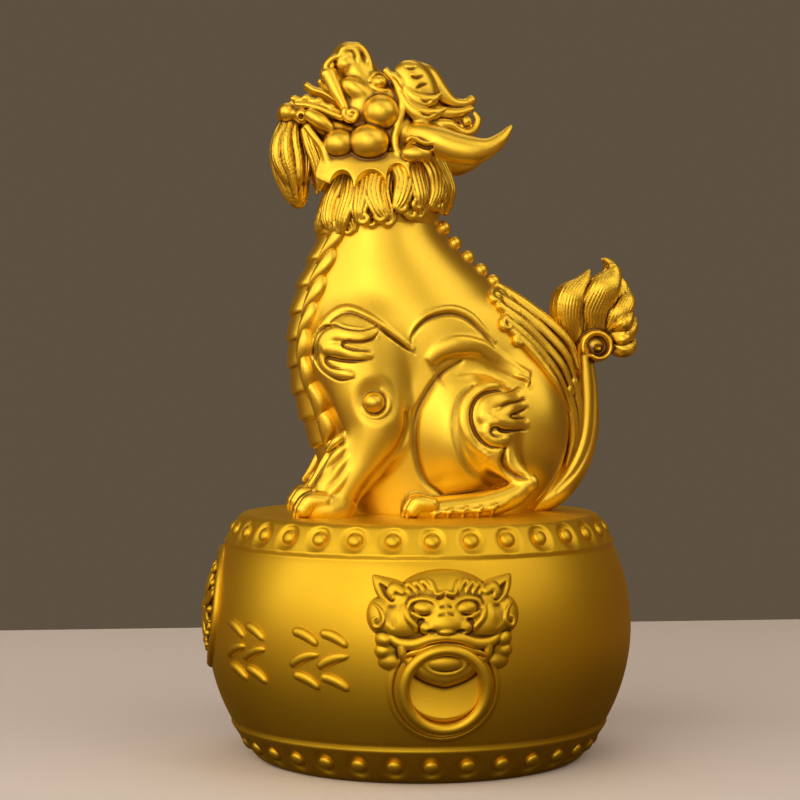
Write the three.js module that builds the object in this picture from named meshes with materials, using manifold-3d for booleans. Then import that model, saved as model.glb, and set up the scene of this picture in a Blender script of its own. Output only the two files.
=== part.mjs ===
// A cast brass guardian beast with a dragon's head, seated on a barrel drum and looking up.
// Millimetres, +Z up. The origin is the middle of the drum's underside, and the beast looks towards -Y.
import * as THREE from "three";
import { mergeVertices } from "three/addons/utils/BufferGeometryUtils.js";
import Module from "manifold-3d";

const wasm = await Module();
wasm.setup();

// Driving sizes of the drum. Its wall is one arc, turned about the upright axis.
const DRUM_HEIGHT = 84.4;
const DRUM_RADIUS = 74;
const BULGE_HEIGHT = 45.7;
const BULGE_ARC = 65.8;
const TOP_BAND = 74;
const FOOT_BAND = 12.7;
const BAND_RELIEF = 0.7;
const STUD_COUNT = 32;
const STUD_RADIUS = 3.3;
const STUD_RISE = 1.2;
const STUD_TURN = THREE.MathUtils.degToRad(3.1);
// The wall is faceted, so its corners stand as far outside the true circle as its facets sink inside.
const FACET_REACH = 2 / (1 + Math.cos(Math.PI / STUD_COUNT));

// Driving sizes of the ornaments on the drum's wall.
const RING_HEIGHT = 33.6;
const RING_RADIUS = 13.1;
const RING_WIRE = 1.85;
const RING_PLATE_RADIUS = 17.6;
const MEDALLION_HEIGHT = 52.5;
const MEDALLION_RADIUS = 20.6;
const MEDALLION_RISE = 1;
const PETALS = 8;

// The beast sits on the drum's head, and its brass meets that plane.
const SEAT = DRUM_HEIGHT;

const BRASS = { color: 0xd9a02a, metalness: 1, roughness: 0.32 };

// How far joined faces may be eased, in millimetres, and how sharply they may turn, as a cosine.
const SLACK = 0.25;
const STEEPEST_TURN = 0.6;
const LEVEL = 0.9999;
const EASING_PASSES = 4;

const SIDES = [-1, 1];
const ACROSS = new THREE.Vector3(1, 0, 0);

// Solids

// A closed geometry as a solid. Seams are merged, and faces that point in are turned out.
function solidOf(geometry) {
  const bare = new THREE.BufferGeometry();
  bare.setAttribute("position", geometry.getAttribute("position"));
  bare.setIndex(geometry.index);
  const merged = mergeVertices(bare, 1e-4);
  const vertProperties = new Float32Array(merged.getAttribute("position").array);
  const triVerts = new Uint32Array(merged.index.array);
  const make = () => new wasm.Manifold(new wasm.Mesh({ numProp: 3, vertProperties, triVerts }));
  const made = make();
  if (made.volume() > 0) return made;
  for (let i = 0; i < triVerts.length; i += 3) {
    [triVerts[i + 1], triVerts[i + 2]] = [triVerts[i + 2], triVerts[i + 1]];
  }
  return make();
}

function joined(solids) {
  return solids.reduce((whole, next) => whole.add(next));
}

// The solid's skin with its needless corners drawn in. A corner moves along an edge to the next one where
// no face around it shifts by more than the slack, and a level face isn't shifted at all.
function geometryOf(solid) {
  const mesh = solid.getMesh();
  const points = Array.from({ length: mesh.numVert }, (_, i) => (
    new THREE.Vector3().fromArray(mesh.vertProperties, 3 * i)
  ));
  const faces = Array.from({ length: mesh.numTri }, (_, i) => Array.from(mesh.triVerts.subarray(3 * i, 3 * i + 3)));
  const around = points.map(() => new Set());
  faces.forEach((face, f) => face.forEach((corner) => around[corner].add(f)));
  const neighbours = (corner) => new Set([...around[corner]].flatMap((f) => faces[f]).filter((c) => c !== corner));
  const planeOf = (corners) => new THREE.Plane().setFromCoplanarPoints(...corners.map((c) => points[c]));

  // How far faces shift, as a share of the slack, when one corner moves to another.
  const shift = (from, to) => {
    let most = 0;
    for (const f of around[from]) {
      const plane = planeOf(faces[f]);
      const slack = Math.abs(plane.normal.z) > LEVEL ? SLACK / 100 : SLACK;
      most = Math.max(most, Math.abs(plane.distanceToPoint(points[to])) / slack);
      if (faces[f].includes(to)) continue;
      const moved = planeOf(faces[f].map((c) => (c === from ? to : c)));
      if (plane.normal.lengthSq() > 0.5 && moved.normal.dot(plane.normal) < STEEPEST_TURN) return Infinity;
    }
    return most;
  };
  for (let pass = 0; pass < EASING_PASSES; pass += 1) {
    const moves = [];
    faces.forEach((face) => face && face.forEach((from, i) => {
      for (const to of [face[(i + 1) % 3], face[(i + 2) % 3]]) {
        const cost = shift(from, to);
        if (cost < 1) moves.push({ from, to, cost });
      }
    }));
    moves.sort((a, b) => a.cost - b.cost);
    for (const { from, to } of moves) {
      const near = neighbours(from);
      const shared = [...neighbours(to)].filter((corner) => near.has(corner));
      if (!near.has(to) || shared.length !== 2 || shift(from, to) >= 1) continue;
      for (const f of around[from]) {
        if (faces[f].includes(to)) {
          for (const corner of faces[f]) if (corner !== from) around[corner].delete(f);
          faces[f] = null;
        } else {
          faces[f] = faces[f].map((corner) => (corner === from ? to : corner));
          around[to].add(f);
        }
      }
      around[from].clear();
    }
  }
  const geometry = new THREE.BufferGeometry().setFromPoints(points);
  geometry.setIndex(faces.filter(Boolean).flat());
  const eased = solidOf(geometry).getMesh();
  const finished = new THREE.BufferGeometry();
  finished.setAttribute("position", new THREE.BufferAttribute(eased.vertProperties, 3));
  finished.setIndex(new THREE.BufferAttribute(eased.triVerts, 1));
  finished.computeVertexNormals();
  return finished;
}

// Skins a row of rings that have equal counts of points, and closes each end on its middle. A facet
// between two rings is two triangles, unless fillFacet makes its own.
function skin(rings, fillFacet = () => false) {
  const count = rings[0].length;
  const points = rings.flat();
  const index = [];
  for (let r = 0; r + 1 < rings.length; r += 1) {
    for (let i = 0; i < count; i += 1) {
      const a = r * count + i;
      const b = r * count + ((i + 1) % count);
      const corners = [a, b, b + count, a + count];
      if (!fillFacet(r, corners, points, index)) index.push(a, b, a + count, b, b + count, a + count);
    }
  }
  for (const [ring, first] of [[rings[0], 0], [rings.at(-1), (rings.length - 1) * count]]) {
    const middle = ring.reduce((sum, p) => sum.add(p), new THREE.Vector3()).divideScalar(count);
    for (let i = 0; i < count; i += 1) {
      const a = first + i;
      const b = first + ((i + 1) % count);
      index.push(...(first ? [a, b, points.length] : [b, a, points.length]));
    }
    points.push(middle);
  }
  const geometry = new THREE.BufferGeometry().setFromPoints(points);
  geometry.setIndex(index);
  return solidOf(geometry);
}

// A limb, horn or lock along a smooth path. A station is [x, y, z, half width, half thickness], and the
// width lies along the across direction as nearly as the path allows.
function limb(stations, { sides = 6, steps = 1, across = ACROSS, groove = 0 } = {}) {
  const path = new THREE.CatmullRomCurve3(stations.map(([x, y, z]) => new THREE.Vector3(x, y, z)));
  const sizes = new THREE.CatmullRomCurve3(stations.map((s) => new THREE.Vector3(s[3], s[4], 0)));
  const count = (stations.length - 1) * steps;
  const rings = Array.from({ length: count + 1 }, (_, k) => {
    const along = path.getTangent(k / count);
    const wide = across.clone().addScaledVector(along, -across.dot(along)).normalize();
    const thick = along.clone().cross(wide);
    const size = sizes.getPoint(k / count);
    return ringOf(path.getPoint(k / count), wide.multiplyScalar(size.x), thick.multiplyScalar(size.y), sides, groove);
  });
  return skin(rings);
}

// An oval of points. With a groove, every other point is drawn in, which gives combed locks.
function ringOf(middle, wide, thick, sides, groove = 0) {
  return Array.from({ length: sides }, (_, i) => {
    const angle = (2 * Math.PI * (i + 0.5)) / sides;
    const reach = i % 2 ? 1 - groove : 1;
    return middle.clone()
      .addScaledVector(wide, reach * Math.cos(angle))
      .addScaledVector(thick, reach * Math.sin(angle));
  });
}

// A body of the middle plane, from ribs of [front y, front z, back y, back z, half width].
function ribbed(ribs, { sides = 8 } = {}) {
  const rings = ribs.map(([frontY, frontZ, backY, backZ, width]) => {
    const front = new THREE.Vector3(0, frontY, frontZ);
    const back = new THREE.Vector3(0, backY, backZ);
    const middle = front.clone().add(back).multiplyScalar(0.5);
    return ringOf(middle, new THREE.Vector3(width, 0, 0), back.sub(front).multiplyScalar(0.5), sides);
  });
  return skin(rings);
}

// An ellipsoid, tipped about the X axis.
function ball([x, y, z], [rx, ry, rz], { tip = 0, sides = 7, rows = 5 } = {}) {
  const geometry = new THREE.SphereGeometry(1, sides, rows);
  geometry.rotateX(Math.PI / 2);
  geometry.scale(rx, ry, rz);
  geometry.rotateX(tip);
  geometry.translate(x, y, z);
  return solidOf(geometry);
}

// The same piece on the beast's left and right.
function both(make) {
  return SIDES.flatMap((side) => make(side));
}

// Body

const TORSO = [
  [-29, 207, 3, 208, 14],
  [-33.4, 193.5, 6.4, 193.8, 16.5],
  [-34, 182.3, 7, 182.6, 17.5],
  [-43, 161.3, 25, 164.4, 22.5],
  [-45.5, 145, 40, 153, 25],
  [-44, 127.8, 52, 133.3, 24.5],
  [-37.5, 111, 52.6, 110, 23.5],
  [-31.3, 96, 47, 92.6, 22],
  [-28, SEAT, 41, SEAT, 20],
];

function torso() {
  return [ribbed(TORSO, { sides: 12 })];
}

// The rounded masses over the shoulder, the thigh and the rump.
const SHOULDER = { middle: [14, -22, 140], radii: [12.5, 15.7, 15.8] };
const HAUNCH = { middle: [16.5, 14.5, 113], radii: [13.8, 19, 23] };
const RUMP = { middle: [9.5, 33, 114], radii: [15, 17.5, 24] };

function mass({ middle, radii }, side, options) {
  return ball([side * middle[0], middle[1], middle[2]], radii, options);
}

function masses() {
  return both((side) => [
    mass(SHOULDER, side, { sides: 8, rows: 6 }),
    mass(HAUNCH, side, { sides: 10, rows: 7 }),
    mass(RUMP, side, { sides: 9, rows: 6 }),
  ]);
}

// Where the outside of a mass lies at a place on the beast's flank.
function flankOf({ middle, radii }, y, z) {
  const inside = 1 - ((y - middle[1]) / radii[1]) ** 2 - ((z - middle[2]) / radii[2]) ** 2;
  return middle[0] + radii[0] * Math.sqrt(Math.max(inside, 0.02));
}

// A three-tongued flame in relief: each tongue is [y, z, ...] from its root to its tip.
const SHOULDER_FLAME = [
  [[-36, 146.5], [-26, 150.5], [-15.5, 149.6]],
  [[-37, 142.5], [-28, 140.3], [-18.5, 141.4]],
  [[-36, 139], [-31, 134.4], [-23.5, 135]],
];
const HAUNCH_FLAME = [
  [[18, 121], [25.5, 126.3], [33.5, 125.6]],
  [[17, 117], [24, 118.6], [33.5, 116.5]],
  [[17, 113], [22, 107.8], [29.5, 110.5]],
];
const FLAME_HALF_WIDTH = 2.2;
const FLAME_RISE = 1;

function flames() {
  const skinOf = (masses, y, z) => Math.max(...masses.map((each) => flankOf(each, y, z)));
  const raise = (masses, tongues, side) => tongues.map((tongue) => limb(
    tongue.map(([y, z], i) => {
      const taper = [0.7, 1, 0.25][i];
      return [side * (skinOf(masses, y, z) - 0.2), y, z, FLAME_HALF_WIDTH * taper, FLAME_RISE];
    }),
    { sides: 4, across: new THREE.Vector3(0, 0.3, 1) },
  ));
  return both((side) => [
    ...raise([SHOULDER], SHOULDER_FLAME, side),
    ...raise([HAUNCH, RUMP], HAUNCH_FLAME, side),
  ]);
}

const FORELEG = [
  [17, -25, 142, 8, 13],
  [19.5, -20, 127, 9.5, 12.5],
  [20.5, -17.5, 115, 9, 11],
  [21, -21.5, 103.5, 7.6, 8.4],
  [21, -27.5, 94, 6.8, 6.6],
  [21, -31.5, SEAT - 3, 6.6, 6],
];
const FOREPAW = { middle: [21, -35, 87], radii: [8.4, 10, 6] };
const HIND_FOOT = [
  [26.5, 36, 97, 3.2, 3.4],
  [27, 30, 91.5, 4.2, 4.2],
  [27, 18, 88.6, 4.8, 4.4],
  [26, -2, 87, 6, 4.6],
];
const TOE_RADII = [2.5, 4.2, 3.4];
const TOE_COUNT = 4;
const TOE_SPACING = 4;

function mirrored(stations, side) {
  return stations.map(([x, ...rest]) => [side * x, ...rest]);
}

function toes(x, y, z, side) {
  return Array.from({ length: TOE_COUNT }, (_, i) => {
    const offset = i - (TOE_COUNT - 1) / 2;
    return ball([side * (x + offset * TOE_SPACING), y + 0.5 * offset ** 2, z], TOE_RADII, { sides: 6, rows: 4 });
  });
}

function legs() {
  return both((side) => [
    limb(mirrored(FORELEG, side), { sides: 8 }),
    mass(FOREPAW, side),
    ...toes(21, -42.3, 87.6, side),
    limb(mirrored(HIND_FOOT, side)),
    ...toes(26, -5.5, 87.4, side),
    ball([side * 27.8, -17.6, 122.4], [3.2, 3.4, 3.4], { sides: 6, rows: 4 }),
  ]);
}

// Feathering behind each foreleg's wrist and at its front, in tapered locks that follow the leg.
const LEG_LOCKS = [
  [[-27.5, 114.5], [-33.5, 101], [-39.5, 91.5]],
  [[-25.5, 110], [-31, 98.5], [-38, 90]],
];

function legLocks() {
  return both((side) => LEG_LOCKS.map((lock, n) => limb(
    lock.map(([y, z], i) => [side * (23 + 2.2 * n), y, z, 1.6, [1, 2, 0.7][i]]),
    { sides: 4 },
  )));
}

// Tail

const TAIL = [
  [0, 38, 87.5, 6, 4.6],
  [0, 50, 92.4, 5.8, 5],
  [0, 57, 105, 5.2, 5],
  [0, 59.5, 121, 4.6, 4.6],
  [0, 59.2, 135, 4, 2.9],
];
const CURL = { middle: [62.6, 141], outer: 4, inner: 1.2, turns: 1.1, width: 3.8, thick: 1.9 };
const CURL_STEPS = 8;

// The tail rises against the rump, then rolls back and down into a closed scroll.
function tailStations() {
  const scroll = Array.from({ length: CURL_STEPS }, (_, i) => {
    const share = i / (CURL_STEPS - 1);
    const angle = Math.PI - 2 * Math.PI * CURL.turns * share;
    const radius = THREE.MathUtils.lerp(CURL.outer, CURL.inner, share);
    return [
      0,
      CURL.middle[0] + radius * Math.cos(angle),
      CURL.middle[1] + radius * Math.sin(angle),
      CURL.width * (1 - 0.2 * share),
      CURL.thick * (1 - 0.35 * share),
    ];
  });
  return [...TAIL, ...scroll];
}

// Flame-shaped locks of the tail's tuft: [root y, root z, bend y, bend z, tip y, tip z, half width, spread x].
const TUFT = [
  [62, 148, 62, 160, 64.5, 173.8, 6.8, 0],
  [57, 147, 52, 157, 59.5, 169, 5.2, 4],
  [66, 149, 73, 155, 74, 163.5, 4.2, 4],
  [69, 147, 75.5, 148, 77, 154, 3.4, 0],
  [64.5, 147.5, 73, 141.4, 78.4, 143.6, 3, 3],
  [64, 149, 67, 158, 69, 167, 4.4, 7],
];

function tuft() {
  const lobes = TUFT.flatMap(([rootY, rootZ, bendY, bendZ, tipY, tipZ, wide, spread]) => {
    const places = spread ? SIDES : [0];
    return places.map((side) => limb(
      [
        [side * spread * 0.4, rootY, rootZ, 2.8, wide * 0.6],
        [side * spread, bendY, bendZ, 4.2, wide],
        [side * spread * 0.7, tipY, tipZ, 0.5, 0.5],
      ],
      { sides: 6 },
    ));
  });
  return [...lobes, ball([0, 61.5, 151.5], [7, 7.5, 6])];
}

// Head

const UPPER_JAW = [
  [-18, 217, -2, 228, 13],
  [-24.5, 224, -9.5, 234, 12.5],
  [-28.5, 231.5, -14.5, 239, 11],
  [-31.5, 237.5, -17.5, 244, 9.5],
  [-31.5, 242, -20, 247.6, 7.8],
  [-28.5, 246, -23, 248.8, 5],
];
const LOWER_JAW = [
  [-22, 222, -20, 205, 14],
  [-31, 224, -31.5, 212.5, 12.5],
  [-38, 226.3, -39, 217.2, 10.5],
  [-43.5, 227.8, -44.5, 219.4, 8],
  [-47, 226.6, -47.6, 221, 4.5],
];
const TONGUE = [
  [0, -24, 224, 5, 2],
  [0, -33, 228.6, 5, 1.7],
  [0, -38, 231, 4.6, 1.5],
  [0, -39.6, 234, 3.4, 1],
];

function jaws() {
  return [
    ball([0, -12, 219], [16, 17, 18], { sides: 10, rows: 7 }),
    ribbed(UPPER_JAW),
    ribbed(LOWER_JAW),
    limb(TONGUE, { sides: 5 }),
    ...both((side) => [
      ball([side * 3.6, -46.6, 223.8], [3.6, 3.2, 3.1], { sides: 6, rows: 4 }),
      ball([side * 9.5, -36, 219.8], [3.2, 4, 3], { tip: 0.35, sides: 6, rows: 4 }),
    ]),
  ];
}

// The nose is a pair of wide nostrils under a rolled ridge.
const NOSTRIL = { middle: [5.2, -25, 243], radii: [3.6, 4.6, 4.2] };
const NOSE_RIDGE = [
  [7, -32.5, 239.5, 1.4, 1.2],
  [7, -30.5, 244.5, 1.4, 1.3],
  [5.5, -25.5, 248.3, 1.6, 1.4],
  [6, -19.6, 246.5, 1.5, 1.4],
  [7.5, -16.5, 240.5, 1.4, 1.2],
];
const UPPER_LIP = [
  [5, -31.6, 239.4, 1.5, 1.3],
  [7, -29.8, 233, 1.7, 1.5],
  [9.2, -26, 225.8, 1.8, 1.6],
  [11, -21.8, 219.6, 1.6, 1.6],
];

function nose() {
  return both((side) => [
    mass(NOSTRIL, side),
    limb(mirrored(NOSE_RIDGE, side), { sides: 4 }),
    limb(mirrored(UPPER_LIP, side), { sides: 4 }),
  ]);
}

// Teeth stand along the lower jaw, with a longer fang at the front of each row.
const TEETH = 3;

function teeth() {
  return both((side) => Array.from({ length: TEETH }, (_, i) => {
    const share = (i + 0.5) / TEETH;
    const place = [
      side * (9 - 4.5 * share),
      THREE.MathUtils.lerp(-27, -44.5, share),
      THREE.MathUtils.lerp(223, 227.4, share),
    ];
    return ball(place, [1.5, 1.7, i === TEETH - 1 ? 3.4 : 2.2], { sides: 4, rows: 4 });
  }));
}

// Round swellings of the cheek and muzzle: [x, y, z, radius].
const CHEEKS = [
  [14.2, -14.7, 222.3, 6.2],
  [14.4, -18.8, 211.4, 6.5],
  [12, -29.6, 211.3, 5],
  [9.5, -21.6, 230.4, 5.2],
];

function face() {
  return both((side) => [
    ...CHEEKS.map(([x, y, z, r]) => ball([side * x, y, z], [r, r, r])),
    ball([side * 9.6, -14.5, 233.4], [2.6, 2.4, 2.4], { sides: 6, rows: 4 }),
    ball([side * 11, -3.6, 231.6], [5.4, 7.4, 10.6], { tip: 0.5, sides: 8 }),
  ]);
}

// Horns, crest and ears: [x, y, z, half width, half thickness] for the left side.
const HORN = [
  [12, -8, 217, 3.6, 4],
  [17, 1, 214.6, 4.8, 5.2],
  [20.5, 12, 210.9, 4.6, 5],
  [21.5, 19.3, 209.8, 3.6, 3.8],
  [21, 25.2, 212.4, 2.4, 2.5],
  [20, 29.6, 217.4, 0.8, 0.8],
];
const CREST = [
  [6.5, -3, 240, 4.4, 3.4],
  [6.5, 3, 234.5, 4.2, 4],
  [6, 8, 230, 3.6, 3],
  [5.5, 13, 228.2, 2.8, 2.1],
  [5, 18.2, 228.8, 1.8, 1.5],
];
const CREST_LOBE = [
  [10, 0, 227, 3.4, 3.6],
  [9.5, 7, 224.8, 3.2, 2.8],
  [8.5, 13, 224.8, 2.4, 1.8],
  [8, 17.6, 226.4, 1, 0.8],
];
const HOOK = [
  [13.4, 2, 216.5, 3.4, 3],
  [12.2, 10.5, 217.6, 2.7, 2.4],
  [11, 15.2, 216.6, 2.2, 1.9],
  [10.6, 19, 218.4, 1.9, 1.6],
  [10.4, 19.4, 223.6, 0.7, 0.7],
];
const EAR = [
  [16.5, -6.5, 210.5, 1.6, 2],
  [20, -2, 209.4, 2, 4.4],
  [21, 4.8, 211, 0.6, 0.8],
];

function crown() {
  return both((side) => [HORN, CREST, CREST_LOBE, HOOK, EAR].map((stations) => limb(
    mirrored(stations, side),
    { sides: stations === HORN ? 6 : 5 },
  )));
}

// The jaw's collar ends in points over the mane: [x, y, z] of each tip, under its root.
const FRILL = [
  [[12, -27, 207], [15.4, -32.2, 199.4]],
  [[15, -20, 206.5], [18.4, -24, 197.2]],
  [[16, -12, 207], [18.8, -13, 197.4]],
  [[16, -5, 209], [18, -5.4, 201.6]],
];

function frill() {
  return both((side) => FRILL.map(([root, tip]) => limb(
    [
      [side * root[0], root[1], root[2], 2.4, 6.6],
      [side * tip[0], tip[1], tip[2], 0.5, 0.6],
    ],
    { sides: 4 },
  )));
}

// Hair

const GOATEE = [
  [[0, -45.5, 221, 3.4, 3], [0, -48.6, 211, 5, 4.6], [0, -47.8, 200.5, 4.4, 4.4], [0, -43.8, 190.8, 1, 1]],
  [[5, -39.5, 220, 2.6, 2.6], [7, -42, 208.5, 3.6, 3.6], [6.5, -40.8, 201, 2.8, 2.8], [5, -38.6, 195.5, 0.8, 0.8]],
];

function goatee() {
  const [middle, flank] = GOATEE;
  return [
    limb(middle, { sides: 10, groove: 0.2 }),
    ...both((side) => [limb(mirrored(flank, side))]),
  ];
}

// The mane is one ring of combed locks round the neck. It leans, higher behind than in front, and every
// lock hangs to a point. A row is [middle y, z, radius y, radius x, lean].
const MANE_LOCKS = 16;
const MANE = [
  [-12, 209, 15, 13, 0.14],
  [-12, 204, 19.5, 16.5, 0.16],
  [-12.5, 194, 23.5, 19.5, 0.22],
  [-12, 187.5, 23.5, 19.5, 0.3],
];
const MANE_GROOVE = 1.8;
const MANE_POINT = 5;

function mane() {
  const rings = MANE.map(([middleY, middleZ, depth, width, lean], row) => (
    Array.from({ length: 2 * MANE_LOCKS }, (_, i) => {
      const angle = (Math.PI * i) / MANE_LOCKS;
      const sunk = i % 2 ? MANE_GROOVE : 0;
      const x = (width - sunk) * Math.sin(angle);
      const y = middleY - (depth - sunk) * Math.cos(angle);
      const point = row === MANE.length - 1 && i % 2 === 0 ? MANE_POINT * (0.8 + 0.35 * Math.sin(2.4 * i)) : 0;
      return new THREE.Vector3(x, y, middleZ + lean * (y - middleY) - point);
    })
  ));
  return [skin(rings)];
}

// Beads run down the spine from the mane to the hair of the back.
const BEAD_RADIUS = 2.4;
const SPINE = [[7.2, 184], [11.6, 178.2], [16.8, 172.8], [21.6, 168], [26.2, 163.8]];

function beads() {
  return SPINE.map(([y, z]) => ball([0, y, z], [BEAD_RADIUS, BEAD_RADIUS, BEAD_RADIUS], { sides: 6, rows: 4 }));
}

// Long hair sweeps down the back from curled ends, and its last strand runs down between rump and tail:
// [spread x, start y, start z, bend y, bend z, end y, end z].
const BACK_LOCKS = [
  [0, 29, 161, 46, 149.5, 57, 134, 8.5],
  [10.5, 29.5, 151.5, 43, 142, 54.5, 126, 3.6],
  [4.5, 44, 146, 53, 130, 53.5, 106, 3],
];
const BACK_CURLS = [[3.2, 28.4, 163], [7.6, 28, 157.6], [11.6, 29.6, 151.2]];

function backHair() {
  const locks = BACK_LOCKS.flatMap(([x, startY, startZ, bendY, bendZ, endY, endZ, half]) => {
    const places = x ? SIDES : [0];
    return places.map((side) => limb(
      [
        [side * x, startY, startZ, half, 2.6],
        [side * x * 1.1, bendY, bendZ, half * 1.1, 3.4],
        [side * x * 0.7, endY, endZ, half * 0.4, 1.4],
      ],
      { sides: x ? 6 : 12, groove: 0.16 },
    ));
  });
  const curls = both((side) => BACK_CURLS.map(([x, y, z]) => (
    ball([side * x, y, z], [2.5, 2.8, 2.8], { sides: 6, rows: 4 })
  )));
  return [...locks, ...curls];
}

// Bands of scale cover the throat and chest, each one lapping the band below it.
const CHEST = [
  [-33.6, 191], [-34.4, 182.3], [-38.6, 172.5], [-43.2, 162.6], [-46, 152.4], [-46.6, 142],
  [-45.6, 131.8], [-42.8, 121.8], [-39, 112.4], [-34.8, 103.6],
];
const PLATE_LAP = 1.5;
const PLATE_DEPTH = 15;

function chestPlates() {
  const ribs = CHEST.slice(0, -1).flatMap(([y, z], i) => {
    const [nextY, nextZ] = CHEST[i + 1];
    const wide = 11.5 + 2.6 * Math.sin((Math.PI * i) / 8);
    return [
      [y, z, y + PLATE_DEPTH, z + 3, wide],
      [nextY - PLATE_LAP, nextZ + 0.7, nextY + PLATE_DEPTH, nextZ + 3.7, wide + 1.6],
    ];
  });
  return [ribbed(ribs)];
}

function beast() {
  const parts = [
    torso(), masses(), flames(), legs(), legLocks(), [limb(tailStations())], tuft(),
    jaws(), nose(), teeth(), face(), crown(), frill(), goatee(), mane(), beads(), backHair(), chestPlates(),
  ].flat();
  return joined(parts).subtract(slab(SEAT));
}

// A block that fills everything below a height.
function slab(height) {
  const geometry = new THREE.BoxGeometry(300, 300, 60);
  geometry.translate(0, 0, height - 30);
  return solidOf(geometry);
}

// Drum

// The radius of the drum's wall at a height.
function wallRadius(z) {
  return DRUM_RADIUS - BULGE_ARC + Math.sqrt(BULGE_ARC ** 2 - (z - BULGE_HEIGHT) ** 2);
}

// The shell's profile from the underside up, as [radius, height].
const SHELL = [
  [wallRadius(0) * FACET_REACH + BAND_RELIEF - 1, 0],
  [wallRadius(FOOT_BAND) * FACET_REACH + BAND_RELIEF, FOOT_BAND - 0.6],
  ...[FOOT_BAND, 23, 34, BULGE_HEIGHT, 56, 65.5, TOP_BAND].map((z) => [wallRadius(z) * FACET_REACH, z]),
  [wallRadius(TOP_BAND) * FACET_REACH + BAND_RELIEF, TOP_BAND + 0.6],
  [wallRadius(DRUM_HEIGHT) * FACET_REACH + 0.2, DRUM_HEIGHT],
];
const STUDDED = [0, SHELL.length - 2];
const STUD_SIDES = 6;

function drumShell() {
  const rings = SHELL.map(([radius, z]) => Array.from({ length: STUD_COUNT }, (_, i) => {
    const angle = STUD_TURN + (2 * Math.PI * (i + 0.5)) / STUD_COUNT;
    return new THREE.Vector3(radius * Math.cos(angle), radius * Math.sin(angle), z);
  }));
  return skin(rings, (row, corners, points, index) => {
    if (!STUDDED.includes(row)) return false;
    stud(row, corners, points, index);
    return true;
  });
}

// Raises a blunt stud from the middle of a facet of the shell.
function stud(row, corners, points, index) {
  const [a, b, c, d] = corners.map((corner) => points[corner]);
  const middle = a.clone().add(b).add(c).add(d).multiplyScalar(0.25);
  const wide = b.clone().sub(a).normalize();
  const up = c.clone().add(d).sub(a).sub(b).normalize();
  const out = wide.clone().cross(up);
  const first = points.length;
  for (const [reach, rise] of [[STUD_RADIUS, 0], [STUD_RADIUS * 0.5, STUD_RISE]]) {
    for (let i = 0; i < STUD_SIDES; i += 1) {
      const angle = (2 * Math.PI * i) / STUD_SIDES;
      points.push(middle.clone()
        .addScaledVector(wide, reach * Math.cos(angle))
        .addScaledVector(up, reach * Math.sin(angle))
        .addScaledVector(out, rise));
    }
  }
  points.push(middle.clone().addScaledVector(out, STUD_RISE));
  const nearest = (i) => corners[[2, 3, 3, 0, 1, 1][i % STUD_SIDES]];
  for (let i = 0; i < STUD_SIDES; i += 1) {
    const foot = first + i;
    const nextFoot = first + ((i + 1) % STUD_SIDES);
    index.push(nearest(i), nextFoot, foot);
    if (nearest(i) !== nearest(i + 1)) index.push(nearest(i), nearest(i + 1), nextFoot);
    index.push(foot, nextFoot, foot + STUD_SIDES, nextFoot, nextFoot + STUD_SIDES, foot + STUD_SIDES);
    index.push(foot + STUD_SIDES, nextFoot + STUD_SIDES, first + 2 * STUD_SIDES);
  }
}

// Places a piece that is modelled about the origin, facing +X, on the drum's wall.
function onWall(geometry, angle, z) {
  const lean = Math.asin((z - BULGE_HEIGHT) / BULGE_ARC);
  geometry.rotateY(-lean);
  geometry.translate(wallRadius(z), 0, z);
  geometry.rotateZ(angle);
  return solidOf(geometry);
}

// Bosses of a lion's face that holds a ring: [across y, z, radii x, y, z]. The paired ones stand on both
// sides of its middle line.
const MASK = [
  [0, 57.5, 4.6, 17.5, 11.5],
  [0, 64, 4.8, 11.5, 5.6],
  [0, 52.6, 7.6, 5.6, 4],
  [0, 58.5, 6.6, 2.8, 6],
  [0, 40.4, 4.4, 8.4, 4.8],
];
const MASK_PAIRS = [
  [7.2, 58.8, 6.4, 3.8, 2.8],
  [9.5, 49.8, 6.2, 7, 4.2],
  [19.6, 57, 4, 4.8, 5.4],
  [19.8, 48.8, 4, 4.2, 4.2],
  [16.6, 42.6, 4, 3.8, 3.8],
];
const BROW = [[1.4, 61.6, 1.3, 1.8], [8, 64.4, 2.4, 2], [15, 66.6, 1.2, 1]];
const EAR_LEAF = [[15, 61, 4.2, 3], [22, 69.8, 0.6, 0.5]];

// How far out the wall lies beside its middle line.
function wallDepth(y, z) {
  return Math.sqrt(wallRadius(z) ** 2 - y ** 2);
}

function lionMask(side) {
  const boss = ([y, z, rx, ry, rz]) => (
    ball([side * wallDepth(y, z), y, z], [rx, ry, rz], { sides: 7, rows: 5 })
  );
  const leaf = (stations, hand, proud) => limb(
    stations.map(([y, z, half, thick]) => [side * (wallDepth(y, z) + proud), hand * y, z, half, thick]),
    { sides: 5, across: new THREE.Vector3(0, -0.5 * hand, 1) },
  );
  const pairs = MASK_PAIRS.flatMap(([y, ...rest]) => [boss([y, ...rest]), boss([-y, ...rest])]);
  const leaves = SIDES.flatMap((hand) => [leaf(BROW, hand, 4.4), leaf(EAR_LEAF, hand, 1)]);
  return [...MASK.map(boss), ...pairs, ...leaves, ...ring(side)];
}

// The ring hangs in relief before a round plate.
function ring(side) {
  const wire = new THREE.TorusGeometry(RING_RADIUS, RING_WIRE, 4, 18);
  wire.rotateY(Math.PI / 2);
  wire.translate(2.6, 0, 0);
  const plate = new THREE.CylinderGeometry(RING_PLATE_RADIUS - 1.2, RING_PLATE_RADIUS, 6, 18);
  plate.rotateZ(-Math.PI / 2);
  plate.translate(-1.5, 0, 0);
  const angle = side > 0 ? 0 : Math.PI;
  return [onWall(wire, angle, RING_HEIGHT), onWall(plate, angle, RING_HEIGHT)];
}

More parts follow.
